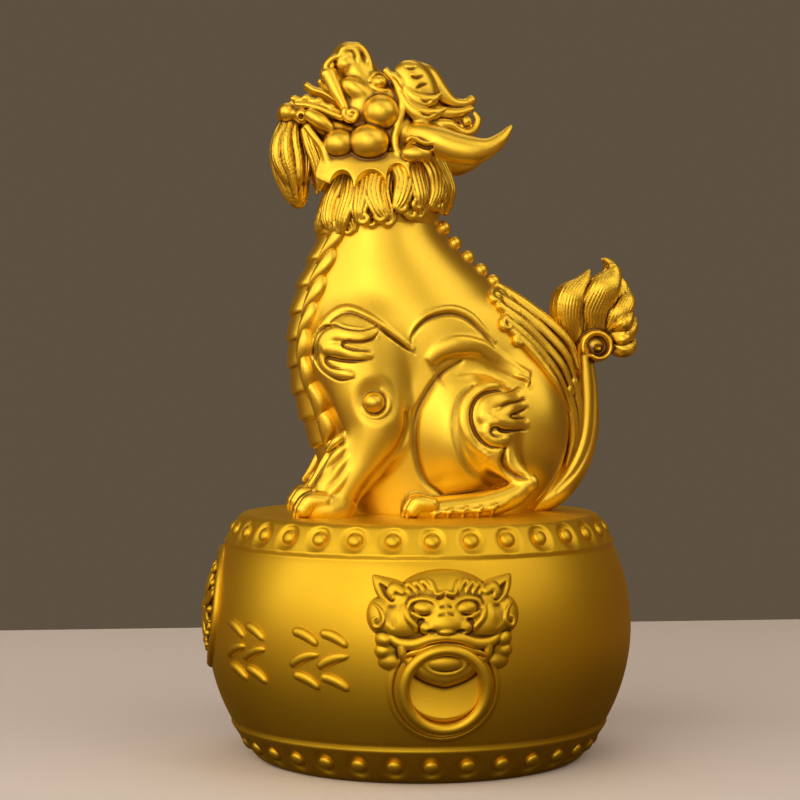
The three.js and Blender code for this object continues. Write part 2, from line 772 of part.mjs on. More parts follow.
// A round medallion lies along the curve of the front: a rim, a boss and a wheel of petals.
function medallion() {
  const front = -Math.PI / 2;
  const round = new THREE.CylinderGeometry(MEDALLION_RADIUS, MEDALLION_RADIUS, 40, 20);
  round.translate(0, -DRUM_RADIUS, MEDALLION_HEIGHT);
  const heights = [30, 38, BULGE_HEIGHT, 56, 65.5, 73.8];
  const profile = heights.map((z) => new THREE.Vector2(wallRadius(z) * FACET_REACH + MEDALLION_RISE, z));
  const closed = [new THREE.Vector2(0, heights[0]), ...profile, new THREE.Vector2(0, heights.at(-1))];
  const lathe = new THREE.LatheGeometry(closed, STUD_COUNT);
  lathe.rotateX(Math.PI / 2);
  const wheel = Array.from({ length: PETALS }, (_, i) => {
    const petal = new THREE.OctahedronGeometry(1);
    petal.scale(1.6, 3.2, 5.6);
    petal.translate(MEDALLION_RISE - 1.2, 0, 11.4);
    petal.rotateX((2 * Math.PI * i) / PETALS);
    return onWall(petal, front, MEDALLION_HEIGHT);
  });
  const boss = new THREE.SphereGeometry(1, 7, 4);
  boss.scale(1.6, 5, 5);
  boss.translate(MEDALLION_RISE, 0, 0);
  return [solidOf(lathe).intersect(solidOf(round)), onWall(boss, front, MEDALLION_HEIGHT), ...wheel];
}

// Rows of brush-like strokes stand in two blocks on each side of the medallion, as plain ornament:
// [across, up, length, slant].
const STROKES = [
  [-5, 7, 8.4, 1.15], [5.4, 7, 8.4, 1.15],
  [-5.2, 0, 9.4, 1.95], [5.2, 0, 9.4, 1.95],
  [-5, -7, 8.4, 1.15], [5.4, -7, 8.4, 1.15],
];
const STROKE_MIDDLE = 43;
const STROKE_ANGLES = [-32, -57].map(THREE.MathUtils.degToRad);

function strokes() {
  return STROKE_ANGLES.flatMap((angle) => [angle, Math.PI - angle])
    .flatMap((base) => STROKES.map(([across, up, length, slant]) => {
      const stroke = new THREE.BoxGeometry(3.4, 2.8, length);
      stroke.rotateX(slant);
      return onWall(stroke, base + across / DRUM_RADIUS, STROKE_MIDDLE + up);
    }));
}

function drum() {
  return joined([drumShell(), ...SIDES.flatMap(lionMask), ...medallion(), ...strokes()]);
}

function named(name, solid) {
  const mesh = new THREE.Mesh(geometryOf(solid), new THREE.MeshStandardMaterial(BRASS));
  mesh.name = name;
  return mesh;
}

const figure = new THREE.Group();
figure.add(named("drum", drum()), named("beast", beast()));

export default figure;
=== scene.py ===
# %% [markdown]
# Brass mythical beast on a drum. The real thing is one casting: wax was modelled, invested,
# poured in brass, and the skin was brushed to a satin gold. The plain CAD solids give the pose
# and the sizes. Here each is dressed with the carving that a caster would have cut in the wax.
# The work is in millimetres, as in the CAD, and turned to metres when a mesh is made.

import itertools
import math

import bmesh
import bpy
import numpy as np
import openvdb
from mathutils import Euler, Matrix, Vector


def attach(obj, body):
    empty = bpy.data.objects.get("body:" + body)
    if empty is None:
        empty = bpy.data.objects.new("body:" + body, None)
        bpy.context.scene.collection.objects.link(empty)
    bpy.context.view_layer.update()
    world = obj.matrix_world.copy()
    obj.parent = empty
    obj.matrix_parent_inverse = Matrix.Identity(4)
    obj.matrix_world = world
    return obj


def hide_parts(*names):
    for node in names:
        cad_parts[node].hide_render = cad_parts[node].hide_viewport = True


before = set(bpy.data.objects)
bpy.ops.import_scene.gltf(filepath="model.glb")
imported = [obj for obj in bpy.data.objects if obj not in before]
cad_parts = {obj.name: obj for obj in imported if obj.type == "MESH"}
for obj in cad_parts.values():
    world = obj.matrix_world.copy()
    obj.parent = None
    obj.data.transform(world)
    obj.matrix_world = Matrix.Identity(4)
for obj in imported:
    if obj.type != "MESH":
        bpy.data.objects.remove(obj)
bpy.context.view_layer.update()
MM = 0.001

# The drum's sizes in mm, as in the CAD.
DRUM_TOP = 84.4
DRUM_RADIUS = 74.0
BULGE_HEIGHT = 45.7
BULGE_ARC = 65.8
TOP_BAND = 74.0
FOOT_BAND = 12.7
BAND_RELIEF = 0.7
STUD_COUNT = 32
STUD_TURN = math.radians(3.1 + 180 / STUD_COUNT)
RING_HEIGHT = 33.6
RING_RADIUS = 13.1
RING_WIRE = 1.85
MEDALLION_HEIGHT = 52.5

# %% [markdown]
# Brass. Cast and brushed brass is one metal everywhere, but it isn't one colour: polish catches the
# proud parts, and a brown patina is left in the creases, where nobody rubs. The brown there is also
# painted shade, which stands in for the shadow that falls in the creases. So the shader reads how
# hollow each point is and moves from gold to brown with it. Soft noise makes the satin uneven, and
# a very fine bump breaks the highlights as brushing does. A thin coat is the clear lacquer that
# keeps such brass bright: it adds a second, sharper shine over the satin, mostly on the beast.

# %% Brass finishes
def brass(name, gold, patina_and_shade, rough, grain, lacquer):
    """A satin brass that turns brown in its hollows, under a thin lacquer."""
    material = bpy.data.materials.new(name)
    material.use_nodes = True
    nodes, links = material.node_tree.nodes, material.node_tree.links
    shader = nodes["Principled BSDF"]
    shader.inputs["Metallic"].default_value = 1.0
    shader.inputs["Coat Weight"].default_value = lacquer
    shader.inputs["Coat Roughness"].default_value = 0.32
    place = nodes.new("ShaderNodeTexCoord")
    hollow = nodes.new("ShaderNodeAttribute")
    hollow.attribute_name = "hollow"
    patches = nodes.new("ShaderNodeTexNoise")
    patches.inputs["Scale"].default_value = 55
    patches.inputs["Detail"].default_value = 4
    links.new(place.outputs["Object"], patches.inputs["Vector"])
    # Painted shade and patina: the hollower a point is, the more its gold turns to brown, for the
    # brown patina in the creases and for the shadow that falls in them.
    reach = nodes.new("ShaderNodeMapRange")
    reach.inputs["From Min"].default_value = 0.57
    reach.inputs["From Max"].default_value = 0.9
    links.new(hollow.outputs["Fac"], reach.inputs["Value"])
    tint = nodes.new("ShaderNodeMix")
    tint.data_type = "RGBA"
    tint.inputs["A"].default_value = (*gold, 1)
    tint.inputs["B"].default_value = (gold[0] * 0.93, gold[1] * 0.87, gold[2] * 0.75, 1)
    links.new(patches.outputs["Fac"], tint.inputs["Factor"])
    tone = nodes.new("ShaderNodeMix")
    tone.data_type = "RGBA"
    tone.inputs["B"].default_value = (*patina_and_shade, 1)
    links.new(reach.outputs["Result"], tone.inputs["Factor"])
    links.new(tint.outputs["Result"], tone.inputs["A"])
    links.new(tone.outputs["Result"], shader.inputs["Base Color"])
    dull = nodes.new("ShaderNodeMapRange")
    dull.inputs["To Min"].default_value = rough - 0.04
    dull.inputs["To Max"].default_value = rough + 0.07
    links.new(patches.outputs["Fac"], dull.inputs["Value"])
    links.new(dull.outputs["Result"], shader.inputs["Roughness"])
    brushed = nodes.new("ShaderNodeTexNoise")
    brushed.inputs["Scale"].default_value = 1400
    brushed.inputs["Detail"].default_value = 3
    links.new(place.outputs["Object"], brushed.inputs["Vector"])
    bump = nodes.new("ShaderNodeBump")
    bump.inputs["Strength"].default_value = grain
    bump.inputs["Distance"].default_value = 0.0002
    links.new(brushed.outputs["Fac"], bump.inputs["Height"])
    links.new(bump.outputs["Normal"], shader.inputs["Normal"])
    return material


# Each brass gives its gold, then the brown of patina and painted shade in the creases, its
# roughness, grain and lacquer.
BRASS = {
    "beast_brass": brass(
        "beast_brass", (0.97, 0.665, 0.055), (0.17, 0.075, 0.008), 0.37, 0.12, 0.45,
    ),
    "drum_brass": brass("drum_brass", (0.84, 0.545, 0.03), (0.14, 0.06, 0.006), 0.45, 0.10, 0.12),
}
print("finishes:", sorted(BRASS))

# %% [markdown]
# Every piece gets its brass in the same way, so one helper does it. It also names the slot that
# the part's record knows the finish by, and fixes the piece to the part's only body.

# %% A finished piece
def finished(piece, slot):
    """Puts a piece on the one body of this part and gives it its brass."""
    piece.data.materials.clear()
    piece.data.materials.append(BRASS[slot])
    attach(piece, "root")
    return piece


# %% [markdown]
# Clay. A cast figure has no seams: a leg flows into the belly and a curl grows out of a lock.
# Meshes joined face by face never blend like that. So the figure is built as a field: space is
# cut into small cells and each cell holds its distance to the surface. Two forms join softly
# when their distances are mixed where they are nearly equal, and a tool cuts where its own
# distance is taken away. The beast is the same on both sides, so only the half with x above 0
# is worked, and it is mirrored when the field is turned to a skin.

# %% Cells of clay
# What a cell far from every form holds, in mm.
FAR = 6.0


def spline(rows, steps):
    """A smooth line through rows of numbers, with this many steps between two rows."""
    rows = np.array(rows, float)
    if steps == 1:
        return rows
    ends = np.vstack([2 * rows[0] - rows[1], rows, 2 * rows[-1] - rows[-2]])
    t = (np.arange(steps) / steps)[:, None]
    made = []
    for a, b, c, d in zip(ends, ends[1:], ends[2:], ends[3:]):
        slope, bend, twist = c - a, 2 * a - 5 * b + 4 * c - d, 3 * b - a - 3 * c + d
        made.append(b + slope * t / 2 + bend * t**2 / 2 + twist * t**3 / 2)
    return np.vstack(made + [rows[-1:]])


def rounded(scaled, radii):
    """The distance to a round form, from the cell's place measured in that form's own radii."""
    near = np.sqrt(sum(s * s for s in scaled))
    slope = np.sqrt(sum((s / r) ** 2 for s, r in zip(scaled, radii))) + 1e-6
    return near * (near - 1) / slope


class Cells:
    """Space cut into cells, each of which holds its distance in mm to the form in it."""

    def __init__(self, low, high, cell):
        self.low = np.array(low, float)
        self.cell = cell
        self.count = np.ceil((np.array(high) - self.low) / cell).astype(int) + 1
        self.field = np.full(self.count, FAR, np.float32)

    def window(self, low, high):
        """The cells between two corners, and their x, y and z."""
        first = np.clip(np.floor((low - self.low) / self.cell), 0, self.count).astype(int)
        last = np.clip(np.ceil((high - self.low) / self.cell) + 1, 0, self.count).astype(int)
        x, y, z = (
            (self.low[i] + self.cell * np.arange(first[i], last[i])).astype(np.float32)
            for i in range(3)
        )
        return first, last, (x[:, None, None], y[None, :, None], z[None, None, :])

    def put(self, first, last, form, blend, cut=False):
        """Joins a form to the clay, or cuts it out, with a soft edge of about blend mm."""
        part = tuple(slice(a, b) for a, b in zip(first, last))
        old = self.field[part]
        form = -form if cut else form
        mix = np.maximum(blend - np.abs(old - form), 0) ** 2 / (4 * blend) if blend else 0
        self.field[part] = np.maximum(old, form) + mix if cut else np.minimum(old, form) - mix

    def sides(self, centre_x, reach):
        """Both sides for a form beside the middle, and one for a form on it."""
        return (1, -1) if 0.01 <= abs(centre_x) < reach else (1,)


print("cells ready")

# %% [markdown]
# Two forms are enough for the whole beast. A ball may be stretched to an egg and turned. A limb is
# an oval swept along a smooth line, with a width and a thickness of its own at every point, which
# makes legs, horns, locks and lips. Its surface may be combed, which scores strands along it.

# %% Balls and limbs
class Forms(Cells):
    """Forms that are joined to the clay, or cut out of it."""

    def ball(self, centre, radii, blend=1.0, turn=(0, 0, 0), cut=False):
        """A ball or egg. turn is its angles about x, y and z."""
        radii = np.array(radii, float)
        reach = radii.max() + blend + 1
        for side in self.sides(centre[0], reach):
            middle = np.array([side * centre[0], centre[1], centre[2]])
            first, last, (x, y, z) = self.window(middle - reach, middle + reach)
            if (last <= first).any():
                continue
            axes = np.array(Euler((turn[0], side * turn[1], side * turn[2])).to_matrix())
            offset = (x - middle[0], y - middle[1], z - middle[2])
            scaled = [sum(o * a for o, a in zip(offset, axes[:, i])) / radii[i] for i in range(3)]
            self.put(first, last, rounded(scaled, radii), blend, cut)

    def limb(self, rows, blend=1.0, across=(1, 0, 0), steps=6, comb=(0, 0), cut=False):
        """An oval swept along rows of x, y, z, half width and depth. comb is strands and depth."""
        path = spline(rows, steps)
        path[:, 3:] = np.maximum(path[:, 3:], 0.12)
        across = np.broadcast_to(np.array(across, float), (len(path), 3))
        widest = path[:, 3:].max()
        for side in self.sides(path[:, 0].mean() if abs(path[:, 0]).max() > 0.01 else 0, math.inf):
            points = path[:, :3] * (side, 1, 1)
            reach = widest + blend + 1
            if side < 0 and path[:, 0].min() > reach:
                continue
            first, last, _ = self.window(points.min(0) - reach, points.max(0) + reach)
            if (last <= first).any():
                continue
            form = np.full(last - first, FAR, np.float32)
            for i in range(len(path) - 1):
                sizes = path[i, 3:], path[i + 1, 3:]
                wide = across[i] * (side, 1, 1)
                self.bar(form, first, points[i], points[i + 1], *sizes, wide, blend, comb)
            self.put(first, last, form, blend, cut)

    def bar(self, form, start, a, b, size_a, size_b, across, blend, comb):
        """One straight length of a limb, worked into the window that begins at start."""
        axis = b - a
        length = max(np.linalg.norm(axis), 1e-6)
        along = axis / length
        wide = across - along * (across @ along)
        wide /= max(np.linalg.norm(wide), 1e-6)
        thick = np.cross(along, wide)
        reach = max(size_a.max(), size_b.max()) + blend + 1
        first, last, (x, y, z) = self.window(np.minimum(a, b) - reach, np.maximum(a, b) + reach)
        if (last <= first).any():
            return
        dx, dy, dz = x - a[0], y - a[1], z - a[2]
        s = dx * along[0] + dy * along[1] + dz * along[2]
        t = np.clip(s / length, 0, 1)
        half = size_a[0] + (size_b[0] - size_a[0]) * t
        deep = size_a[1] + (size_b[1] - size_a[1]) * t
        end = np.minimum(half, deep)
        u = (dx * wide[0] + dy * wide[1] + dz * wide[2]) / half
        v = (dx * thick[0] + dy * thick[1] + dz * thick[2]) / deep
        w = (s - t * length) / end
        made = rounded((u, v, w), (half, deep, end))
        strands, depth = comb
        if strands:
            groove = 1 - np.abs(np.cos(np.pi * strands * u / 2))
            made = made + depth * np.minimum(1, half * 0.4) * groove
        part = tuple(slice(p - q, r - q) for p, r, q in zip(first, last, start))
        inside = tuple(slice(max(0, -sl.start), None) for sl in part)
        part = tuple(slice(max(0, sl.start), sl.stop) for sl in part)
        target = form[part]
        made = made[inside][tuple(slice(0, n) for n in target.shape)]
        np.minimum(target, made, out=target)


print("balls and limbs ready")

# %% [markdown]
# To draw on a form, its surface has to be found. A ray steps through the field until the distance
# turns negative, and the field's slope there says which way the surface faces. A line is landed
# point by point in this way, and a thin limb is laid along it: joined for a ridge, and cut away
# for a crease.

# %% Drawing on the clay
# Rays from the side start this far out, past the widest point, and reach this far in, in mm.
OUTSIDE = 38.0
RAY = 70


class Surface(Forms):
    """Finds the surface of the clay, and draws on it."""

    def sample(self, points):
        """The distance at any points, mirrored to the worked half."""
        at = (np.abs(points * (1, 0, 0)) + points * (0, 1, 1) - self.low) / self.cell
        base = np.clip(np.floor(at).astype(int), 0, self.count - 2)
        share = np.clip(at - base, 0, 1)
        total = 0
        for corner in itertools.product((0, 1), repeat=3):
            weight = np.prod(np.where(corner, share, 1 - share), axis=1)
            total = total + weight * self.field[tuple((base + corner).T)]
        return total

    def land(self, start, toward):
        """Where rays from start first meet the form, and the outward direction there."""
        toward = np.array(toward, float) / np.linalg.norm(toward)
        reach = np.arange(0, RAY, self.cell / 2)
        spots = start[:, None, :] + toward * reach[None, :, None]
        depth = self.sample(spots.reshape(-1, 3)).reshape(len(start), -1)
        hit = np.maximum(np.argmax(depth < 0, axis=1), 1)
        row = np.arange(len(start))
        before, after = depth[row, hit - 1], depth[row, hit]
        share = before / np.maximum(before - after, 1e-6)
        spot = start + toward * (reach[hit - 1] + share * self.cell / 2)[:, None]
        reach = np.eye(3) * self.cell
        out = np.stack([self.sample(spot + e) - self.sample(spot - e) for e in reach], 1)
        return spot, out / np.maximum(np.linalg.norm(out, axis=1), 1e-6)[:, None]

    def line(self, points, width, rise, blend=0.5, taper=(0.25, 0.25), toward=(-1, 0, 0), steps=8):
        """A ridge (rise above 0) or a crease on the form. Points of y, z are seen from the side."""
        path = spline(points, steps)
        if path.shape[1] == 2:
            path = np.column_stack([np.full(len(path), OUTSIDE), path])
        spot, out = self.land(path, toward)
        s = np.linspace(0, 1, len(spot))
        ends = np.minimum(s / max(taper[0], 1e-3), (1 - s) / max(taper[1], 1e-3))
        fade = np.clip(ends, 0, 1) ** 0.7
        along = np.gradient(spot, axis=0)
        across = np.cross(along, out)
        half = width / 2 * (0.25 + 0.75 * fade)
        deep = abs(rise) * (0.2 + 0.8 * fade)
        self.limb(np.column_stack([spot, half, deep]), blend, across, 1, cut=rise < 0)

    def side_at(self, y, z):
        """How far out the form reaches at y, z, seen from the side."""
        return self.land(np.array([[OUTSIDE, y, z]]), (-1, 0, 0))[0][0, 0]


print("drawing ready")

# %% [markdown]
# The skin is the face between cells inside and outside. It has a face for every cell it passes, so
# Decimate thins it where it is nearly flat. The shading still follows the fine form, because the
# normals are read from the field. How hollow a point is comes from the field too: smoothing fills
# the creases, so a point that ends up deep inside the smoothed form lies in one.

# %% Skin of the clay
class Clay(Surface):
    """Clay that can be turned to a finished piece."""

    def soften(self, times):
        """Smooths the field, which fills creases and wears down what is proud."""
        for _ in range(times):
            for axis in range(3):
                before = np.take(self.field, [0 if axis else 1], axis)
                after = np.take(self.field, [-1], axis)
                wide = np.concatenate([before, self.field, after], axis)
                low, mid, high = (
                    np.take(wide, range(i, i + self.count[axis]), axis) for i in range(3)
                )
                self.field = (low + 2 * mid + high) / 4

    def skin(self, name, slot, limit, place=None):
        """A closed mesh in metres, thinned to a limit of triangles. place lays it elsewhere."""
        whole = np.concatenate([self.field[:0:-1], self.field]).astype(np.float32)
        grid = openvdb.FloatGrid(FAR)
        grid.copyFromArray(whole)
        spots, _, quads = grid.convertToPolygons(0.0, 0.0)
        spots = spots * self.cell + self.low - (self.cell * (self.count[0] - 1), 0, 0)
        mesh = bpy.data.meshes.new(name)
        mesh.from_pydata(spots, [], quads)
        piece = bpy.data.objects.new(name, mesh)
        bpy.context.scene.collection.objects.link(piece)
        thin = piece.modifiers.new("thin", "DECIMATE")
        thin.ratio = min(1.0, limit / (2 * len(quads)))
        thin.use_collapse_triangulate = True
        graph = bpy.context.evaluated_depsgraph_get()
        piece.data = bpy.data.meshes.new_from_object(piece.evaluated_get(graph))
        piece.modifiers.remove(thin)
        bpy.data.meshes.remove(mesh)
        mesh = piece.data
        mesh.name = name
        spots = np.empty(len(mesh.vertices) * 3, np.float32)
        mesh.vertices.foreach_get("co", spots)
        spots = spots.reshape(-1, 3).astype(float)
        # How hollow each point is goes on the mesh, and the brass paints it brown by that: patina
        # and painted shade in the creases.
        hollow = self.hollow(spots).astype(np.float32)
        mesh.attributes.new("hollow", "FLOAT", "POINT").data.foreach_set("value", hollow)
        placed = place(spots) if place else spots
        mesh.vertices.foreach_set("co", (placed * MM).astype(np.float32).ravel())
        mesh.shade_smooth()
        if not place:
            mesh.normals_split_custom_set_from_vertices(self.outward(spots))
        print(
            f"{name}: {len(mesh.polygons)} triangles, from {2 * len(quads)}, cells {self.cell} mm",
        )
        return finished(piece, slot)

    def outward(self, spots):
        """The way the surface faces at each point, read from the field."""
        reach = np.eye(3) * self.cell * 0.8
        out = np.stack([self.sample(spots + e) - self.sample(spots - e) for e in reach], 1)
        return out / np.maximum(np.linalg.norm(out, axis=1), 1e-6)[:, None]

    def hollow(self, spots):
        """Near 0 on the proud parts and 1 in the deepest creases."""
        keep = self.field
        self.field = np.clip(keep, -3, 3)
        self.soften(max(2, round(1.0 / self.cell) ** 2))
        level = self.sample(spots)
        self.field = keep
        return np.clip(0.5 - level / 0.5, 0, 1)


print("clay ready")

# %% [markdown]
# The body. A sitting animal is a stack of rounded masses: a barrel for the chest and belly, then
# shoulder, haunch, rump and the legs, pressed on while soft. The barrel is a loft of leaning
# ribs, and each cell asks between which two ribs it lies. Everything else is an egg or a limb.

# %% Body masses
# Ribs from the belly up to the neck: front y and z, back y and z, and half the width.
TRUNK = [
    [-25, 78, 38, 78, 19.5],
    [-28, 84.4, 41, 84.4, 20.5],
    [-31.3, 96, 47, 92.6, 22],
    [-37.5, 111, 52.0, 110, 23.5],
    [-43.2, 127.8, 52, 133.3, 24],
    [-44.6, 145, 40.5, 153, 24.5],
    [-42.0, 161.3, 26, 164.4, 22],
    [-33.6, 182.3, 7.6, 182.6, 17.2],
    [-33.0, 193.5, 6.4, 193.8, 16],
    [-29, 207, 3, 208, 14],
]


def loft_trunk(clay, ribs):
    """Fills the clay inside a stack of leaning oval ribs."""
    rows = spline(ribs, 8)
    low = np.array([0, -52, rows[0, 1]])
    high = np.array([30, 60, rows[-1, 1]])
    first, last, (x, y, z) = clay.window(low, high)
    across = y.ravel()
    up = z.ravel()
    front, front_z, back, back_z, half = rows.T
    form = np.full(last - first, FAR, np.float32)
    for j, at in enumerate(across):
        lean = np.clip((at - front) / (back - front), -0.2, 1.2)
        row = np.interp(up, front_z + (back_z - front_z) * lean, np.arange(len(rows)))
        f, b, h = (np.interp(row, np.arange(len(rows)), c) for c in (front, back, half))
        deep = (b - f) / 2
        u = x[:, 0] / h
        v = ((at - (f + b) / 2) / deep)[None, :] * np.ones_like(u)
        form[:, j, :] = rounded((u, v), (h, deep))
    clay.put(first, last, form, 0)


body = Clay((0, -53, 83.4), (36, 61, 204), 0.45)
loft_trunk(body, TRUNK)
# Shoulder, haunch and rump, and then the low ridge over the spine.
body.ball((13.5, -22, 140), (13.0, 17.0, 17.5), 7)
body.ball((14.5, 12.5, 112), (14.2, 17.5, 23.5), 4)
body.ball((9.5, 33, 114), (15, 17.5, 24), 7)
body.limb(
    [
        [0, 5.2, 183.2, 3, 2.2], [0, 9.4, 176.6, 3.6, 2.2], [0, 18.2, 166.0, 4.4, 2.2],
        [0, 28.2, 156.2, 6, 3.0],
    ],
    3,
)
print("trunk, shoulder, haunch and rump in place")

# %% [markdown]
# The legs. The fore leg is a column that narrows above the paw, and the hind leg is folded: the
# shank comes down behind the thigh to the heel, and the long foot lies flat towards the front.

# %% Legs and paws
FORELEG = [
    [17, -24, 144, 9, 13.5],
    [19.5, -20, 128, 9.6, 13],
    [20.5, -17.5, 115, 9, 11],
    [20.8, -21.5, 103.5, 7.4, 8.4],
    [21, -27.5, 94, 6.6, 6.4],
    [21, -31.5, 86, 6.8, 6],
]
HIND_FOOT = [
    [27, 34.5, 96, 3.2, 3.2],
    [27.3, 29, 91.5, 4.0, 4.2],
    [27.3, 18, 88.2, 4.8, 4.6],
    [26.5, 5, 87, 5.6, 4.4],
    [26.2, -3, 86.8, 6.2, 4.2],
]
SHANK = [
    [21, 20, 126, 6, 8],
    [22.5, 21, 117, 7.6, 11],
    [23.8, 23, 108, 6.4, 8.6],
    [25.6, 28, 101, 4.2, 4.8],
    [27, 33, 96.5, 3.2, 3.4],
]
body.limb(FORELEG, 4, steps=16)
body.ball((21, -34.5, 87), (8.2, 10, 6), 2.5)
body.limb(SHANK, 2.2)
body.limb(HIND_FOOT, 1.4)
body.ball((28.5, 35.2, 95.8), (2.2, 2.6, 2.6), 1.2)
for toe in range(4):
    # A toe of the fore paw with its claw, and then one of the hind paw.
    x = 15.0 + 4.0 * toe
    y = -42.0 + 0.8 * abs(toe - 1.5)
    body.limb(
        [[x, y + 6, 90, 2.2, 2.6], [x, y + 1.5, 89.8, 2.3, 3], [x, y - 1.4, 86.8, 2.1, 2.6]], 0.7,
    )
    body.limb(
        [[x, y - 1.6, 87.6, 1.2, 1.3], [x, y - 3.0, 85.8, 0.9, 1.0], [x, y - 3.2, 84.2, 0.5, 0.6]],
        0.5,
    )
    x = 20.6 + 3.7 * toe
    y = -6.2 + 0.9 * abs(toe - 1.5)
    body.limb(
        [[x, y + 6, 89, 2.0, 2.4], [x, y + 1.5, 89.3, 2.1, 2.8], [x, y - 1, 86.8, 2.0, 2.4]], 0.7,
    )
    body.limb(
        [[x, y - 1.2, 87.6, 1.1, 1.2], [x, y - 2.5, 85.8, 0.8, 0.9], [x, y - 2.7, 84.2, 0.5, 0.6]],
        0.5,
    )
print("legs in place")

# %% [markdown]
# Drawing on the body. The maker cut lines with a gouge and rolled thin strips of wax on to the
# skin. Both are drawn here as points seen from the side: each lands on the surface below it, and
# a flat oval is swept along it, joined for a ridge and cut for a crease.

# %% Creases and bands
MUSCLE = [
    [1, 137.6], [5, 140.8], [11.5, 142.4], [18.6, 141], [25, 137.2], [31, 133.9], [35.4, 132.4],
]
HIP = [
    [-5.4, 143.5], [-4.6, 148], [-0.5, 152.6], [4.5, 154.6], [9.5, 155], [14.5, 153.2], [19, 149.2],
    [24, 143.9],
]
THIGH_FRONT = [
    [12, 137], [5.2, 132.6], [-0.1, 125.6], [-3.3, 118.8], [-4.1, 110.3], [-3.0, 102.6],
    [-0.3, 96.2], [5, 91.6],
]
THIGH_TOP = [[4.6, 132.6], [9, 136], [16.7, 137.2], [23.9, 135.1], [29.2, 131.1], [33.4, 126.2]]
CALF = [
    [18, 129], [14, 125], [11.9, 119], [11.7, 113.5], [13, 107.5], [16.4, 101.5], [21.5, 96.8],
    [25.5, 94],
]
SHOULDER = [
    [-38, 134], [-39, 140], [-37, 147], [-32.4, 153], [-27, 155.2], [-20.8, 153], [-15.1, 149.2],
    [-10, 145.4], [-4.6, 141.2],
]
RUMP = [[46.6, 131], [50.5, 121], [51.4, 110], [49.4, 101], [45, 94.5], [39, 88]]
HEEL = [[26.5, 108], [25.4, 102.6], [28.4, 98.6], [33.6, 97.6]]
ELBOW_LINE = [
    [-6.8, 119.5], [-6.6, 115], [-8.8, 109], [-13, 103.4], [-17.4, 98.4], [-21.4, 93.6],
    [-24, 89.8],
]
body.line(THIGH_TOP, 7.0, -1.1, 2.8)
body.line(MUSCLE, 6.5, 1.5, 1.6, (0.3, 0.5))
body.line(HIP, 2.0, 0.5, 0.7)
body.line([[y - 0.2, z - 2.0] for y, z in HIP], 1.6, -0.6, 0.6)
body.line(THIGH_FRONT, 2.0, -1.0, 1.2)
body.line([[y - 2.4, z] for y, z in CALF], 1.8, -0.35, 1.4)
body.line(SHOULDER, 1.8, 0.45, 0.8)
body.line([[y + 0.4, z - 1.7] for y, z in SHOULDER], 1.2, -0.5, 0.5)
body.line([[-16, 147.8], [-10.4, 143.9], [-5.4, 140.2]], 1.0, -0.6, 0.4)
body.line(RUMP, 1.8, -1.2, 0.8)
body.line(HEEL, 2.4, -1.6, 1.0)
body.line(ELBOW_LINE, 3.0, -1.1, 2.2, (0.6, 0.3))
print("creases and bands drawn")

# %% [markdown]
# A flame mark sits on the shoulder and on the haunch. It is low: soft tongues that part from one
# palm, and round them a thin line cut with a gouge, which is what the eye reads.

# %% Flames
def flame(clay, tongues, edges):
    """A flame mark: soft tongues that grow out of one palm, drawn round with a thin gouge."""
    for points, width in tongues:
        clay.line(points, width, 1.0, 1.8, (0.15, 0.2))
    for points, width in edges:
        clay.line(points, width, -0.9, 0.3, (0.2, 0.2))


flame(
    body,
    [
        (
            [
                [-35.4, 139.2], [-34.8, 143.9], [-31.4, 146.6], [-26.6, 146.0], [-22.2, 145.7],
                [-17.6, 146.9],
            ],
            4.4,
        ),
        ([[-34.8, 140.9], [-30.1, 141.0], [-25.3, 139.6], [-19.9, 138.9]], 3.4),
        ([[-35.9, 138.5], [-34.5, 135.5], [-31.1, 133.2], [-25.8, 132.4]], 3.0),
    ],
    [
        (
            [
                [-25.2, 131.2], [-30.2, 130.6], [-35.2, 133.4], [-38.2, 138.4], [-38.5, 143.9],
                [-36.2, 147.8], [-31.6, 149.4], [-26.8, 148.2], [-21.6, 147.8], [-16.8, 149.2],
            ],
            1.2,
        ),
        (
            [
                [-16.6, 146.8], [-18.4, 144.6], [-22.7, 143.4], [-27.6, 143.6],
                [-28.8, 142.7], [-26.8, 141.5], [-22.7, 140.8], [-18.6, 140.4],
            ],
            1.1,
        ),
        (
            [
                [-18.6, 137.6], [-24.1, 137.0], [-29.5, 137.4], [-33.4, 138.2], [-34.2, 136.9],
                [-32.2, 135.1], [-28.2, 134.4],
            ],
            1.3,
        ),
    ],
)
flame(
    body,
    [
        (
            [
                [20.0, 115.8], [19.1, 119.6], [21.0, 123.0], [25.4, 124.3], [29.7, 124.9],
                [34.0, 127.0],
            ],
            4.4,
        ),
        ([[21.0, 118.2], [25.4, 119.2], [29.3, 121.2], [33.8, 122.4]], 3.0),
        ([[21.0, 116.2], [25.9, 116.2], [29.7, 116.0], [34.0, 115.6]], 3.0),
        ([[19.1, 114.8], [20.0, 111.8], [23.0, 110.4], [27.2, 110.8]], 3.4),
    ],
    [
        (
            [
                [26.6, 107.6], [20.4, 108.2], [16.3, 112.0], [14.4, 117.5],
                [15.2, 122.5], [18.2, 125.9], [23.1, 127.2], [28.0, 126.8], [32.4, 128.6],
            ],
            1.4,
        ),
        ([[34.4, 124.6], [31.0, 123.6], [27.6, 123.0], [24.2, 121.6]], 1.0),
        ([[34.6, 121.0], [31.4, 119.6], [28.4, 118.6], [29.8, 118.0], [34.6, 117.4]], 1.1),
        (
            [
                [34.4, 113.6], [28.9, 113.4], [25.0, 113.6], [22.6, 114.5], [21.4, 113.3],
                [22.4, 112.0], [25.6, 111.6],
            ],
            1.3,
        ),
    ],
)
body.line(
    [
        [20.0, 104.6], [15.2, 108.8], [12.4, 114.8], [12.3, 120.8], [15.0, 125.8], [20.4, 129.0],
        [26.8, 129.4],
    ],
    2.6, 0.6, 1.0,
)
print("flames drawn")


# %% [markdown]
# Small things on the legs: a curl on the elbow, the curled end of the thigh's band, locks of hair
# down the front of the leg and the rows of little crescents along the hind foot.

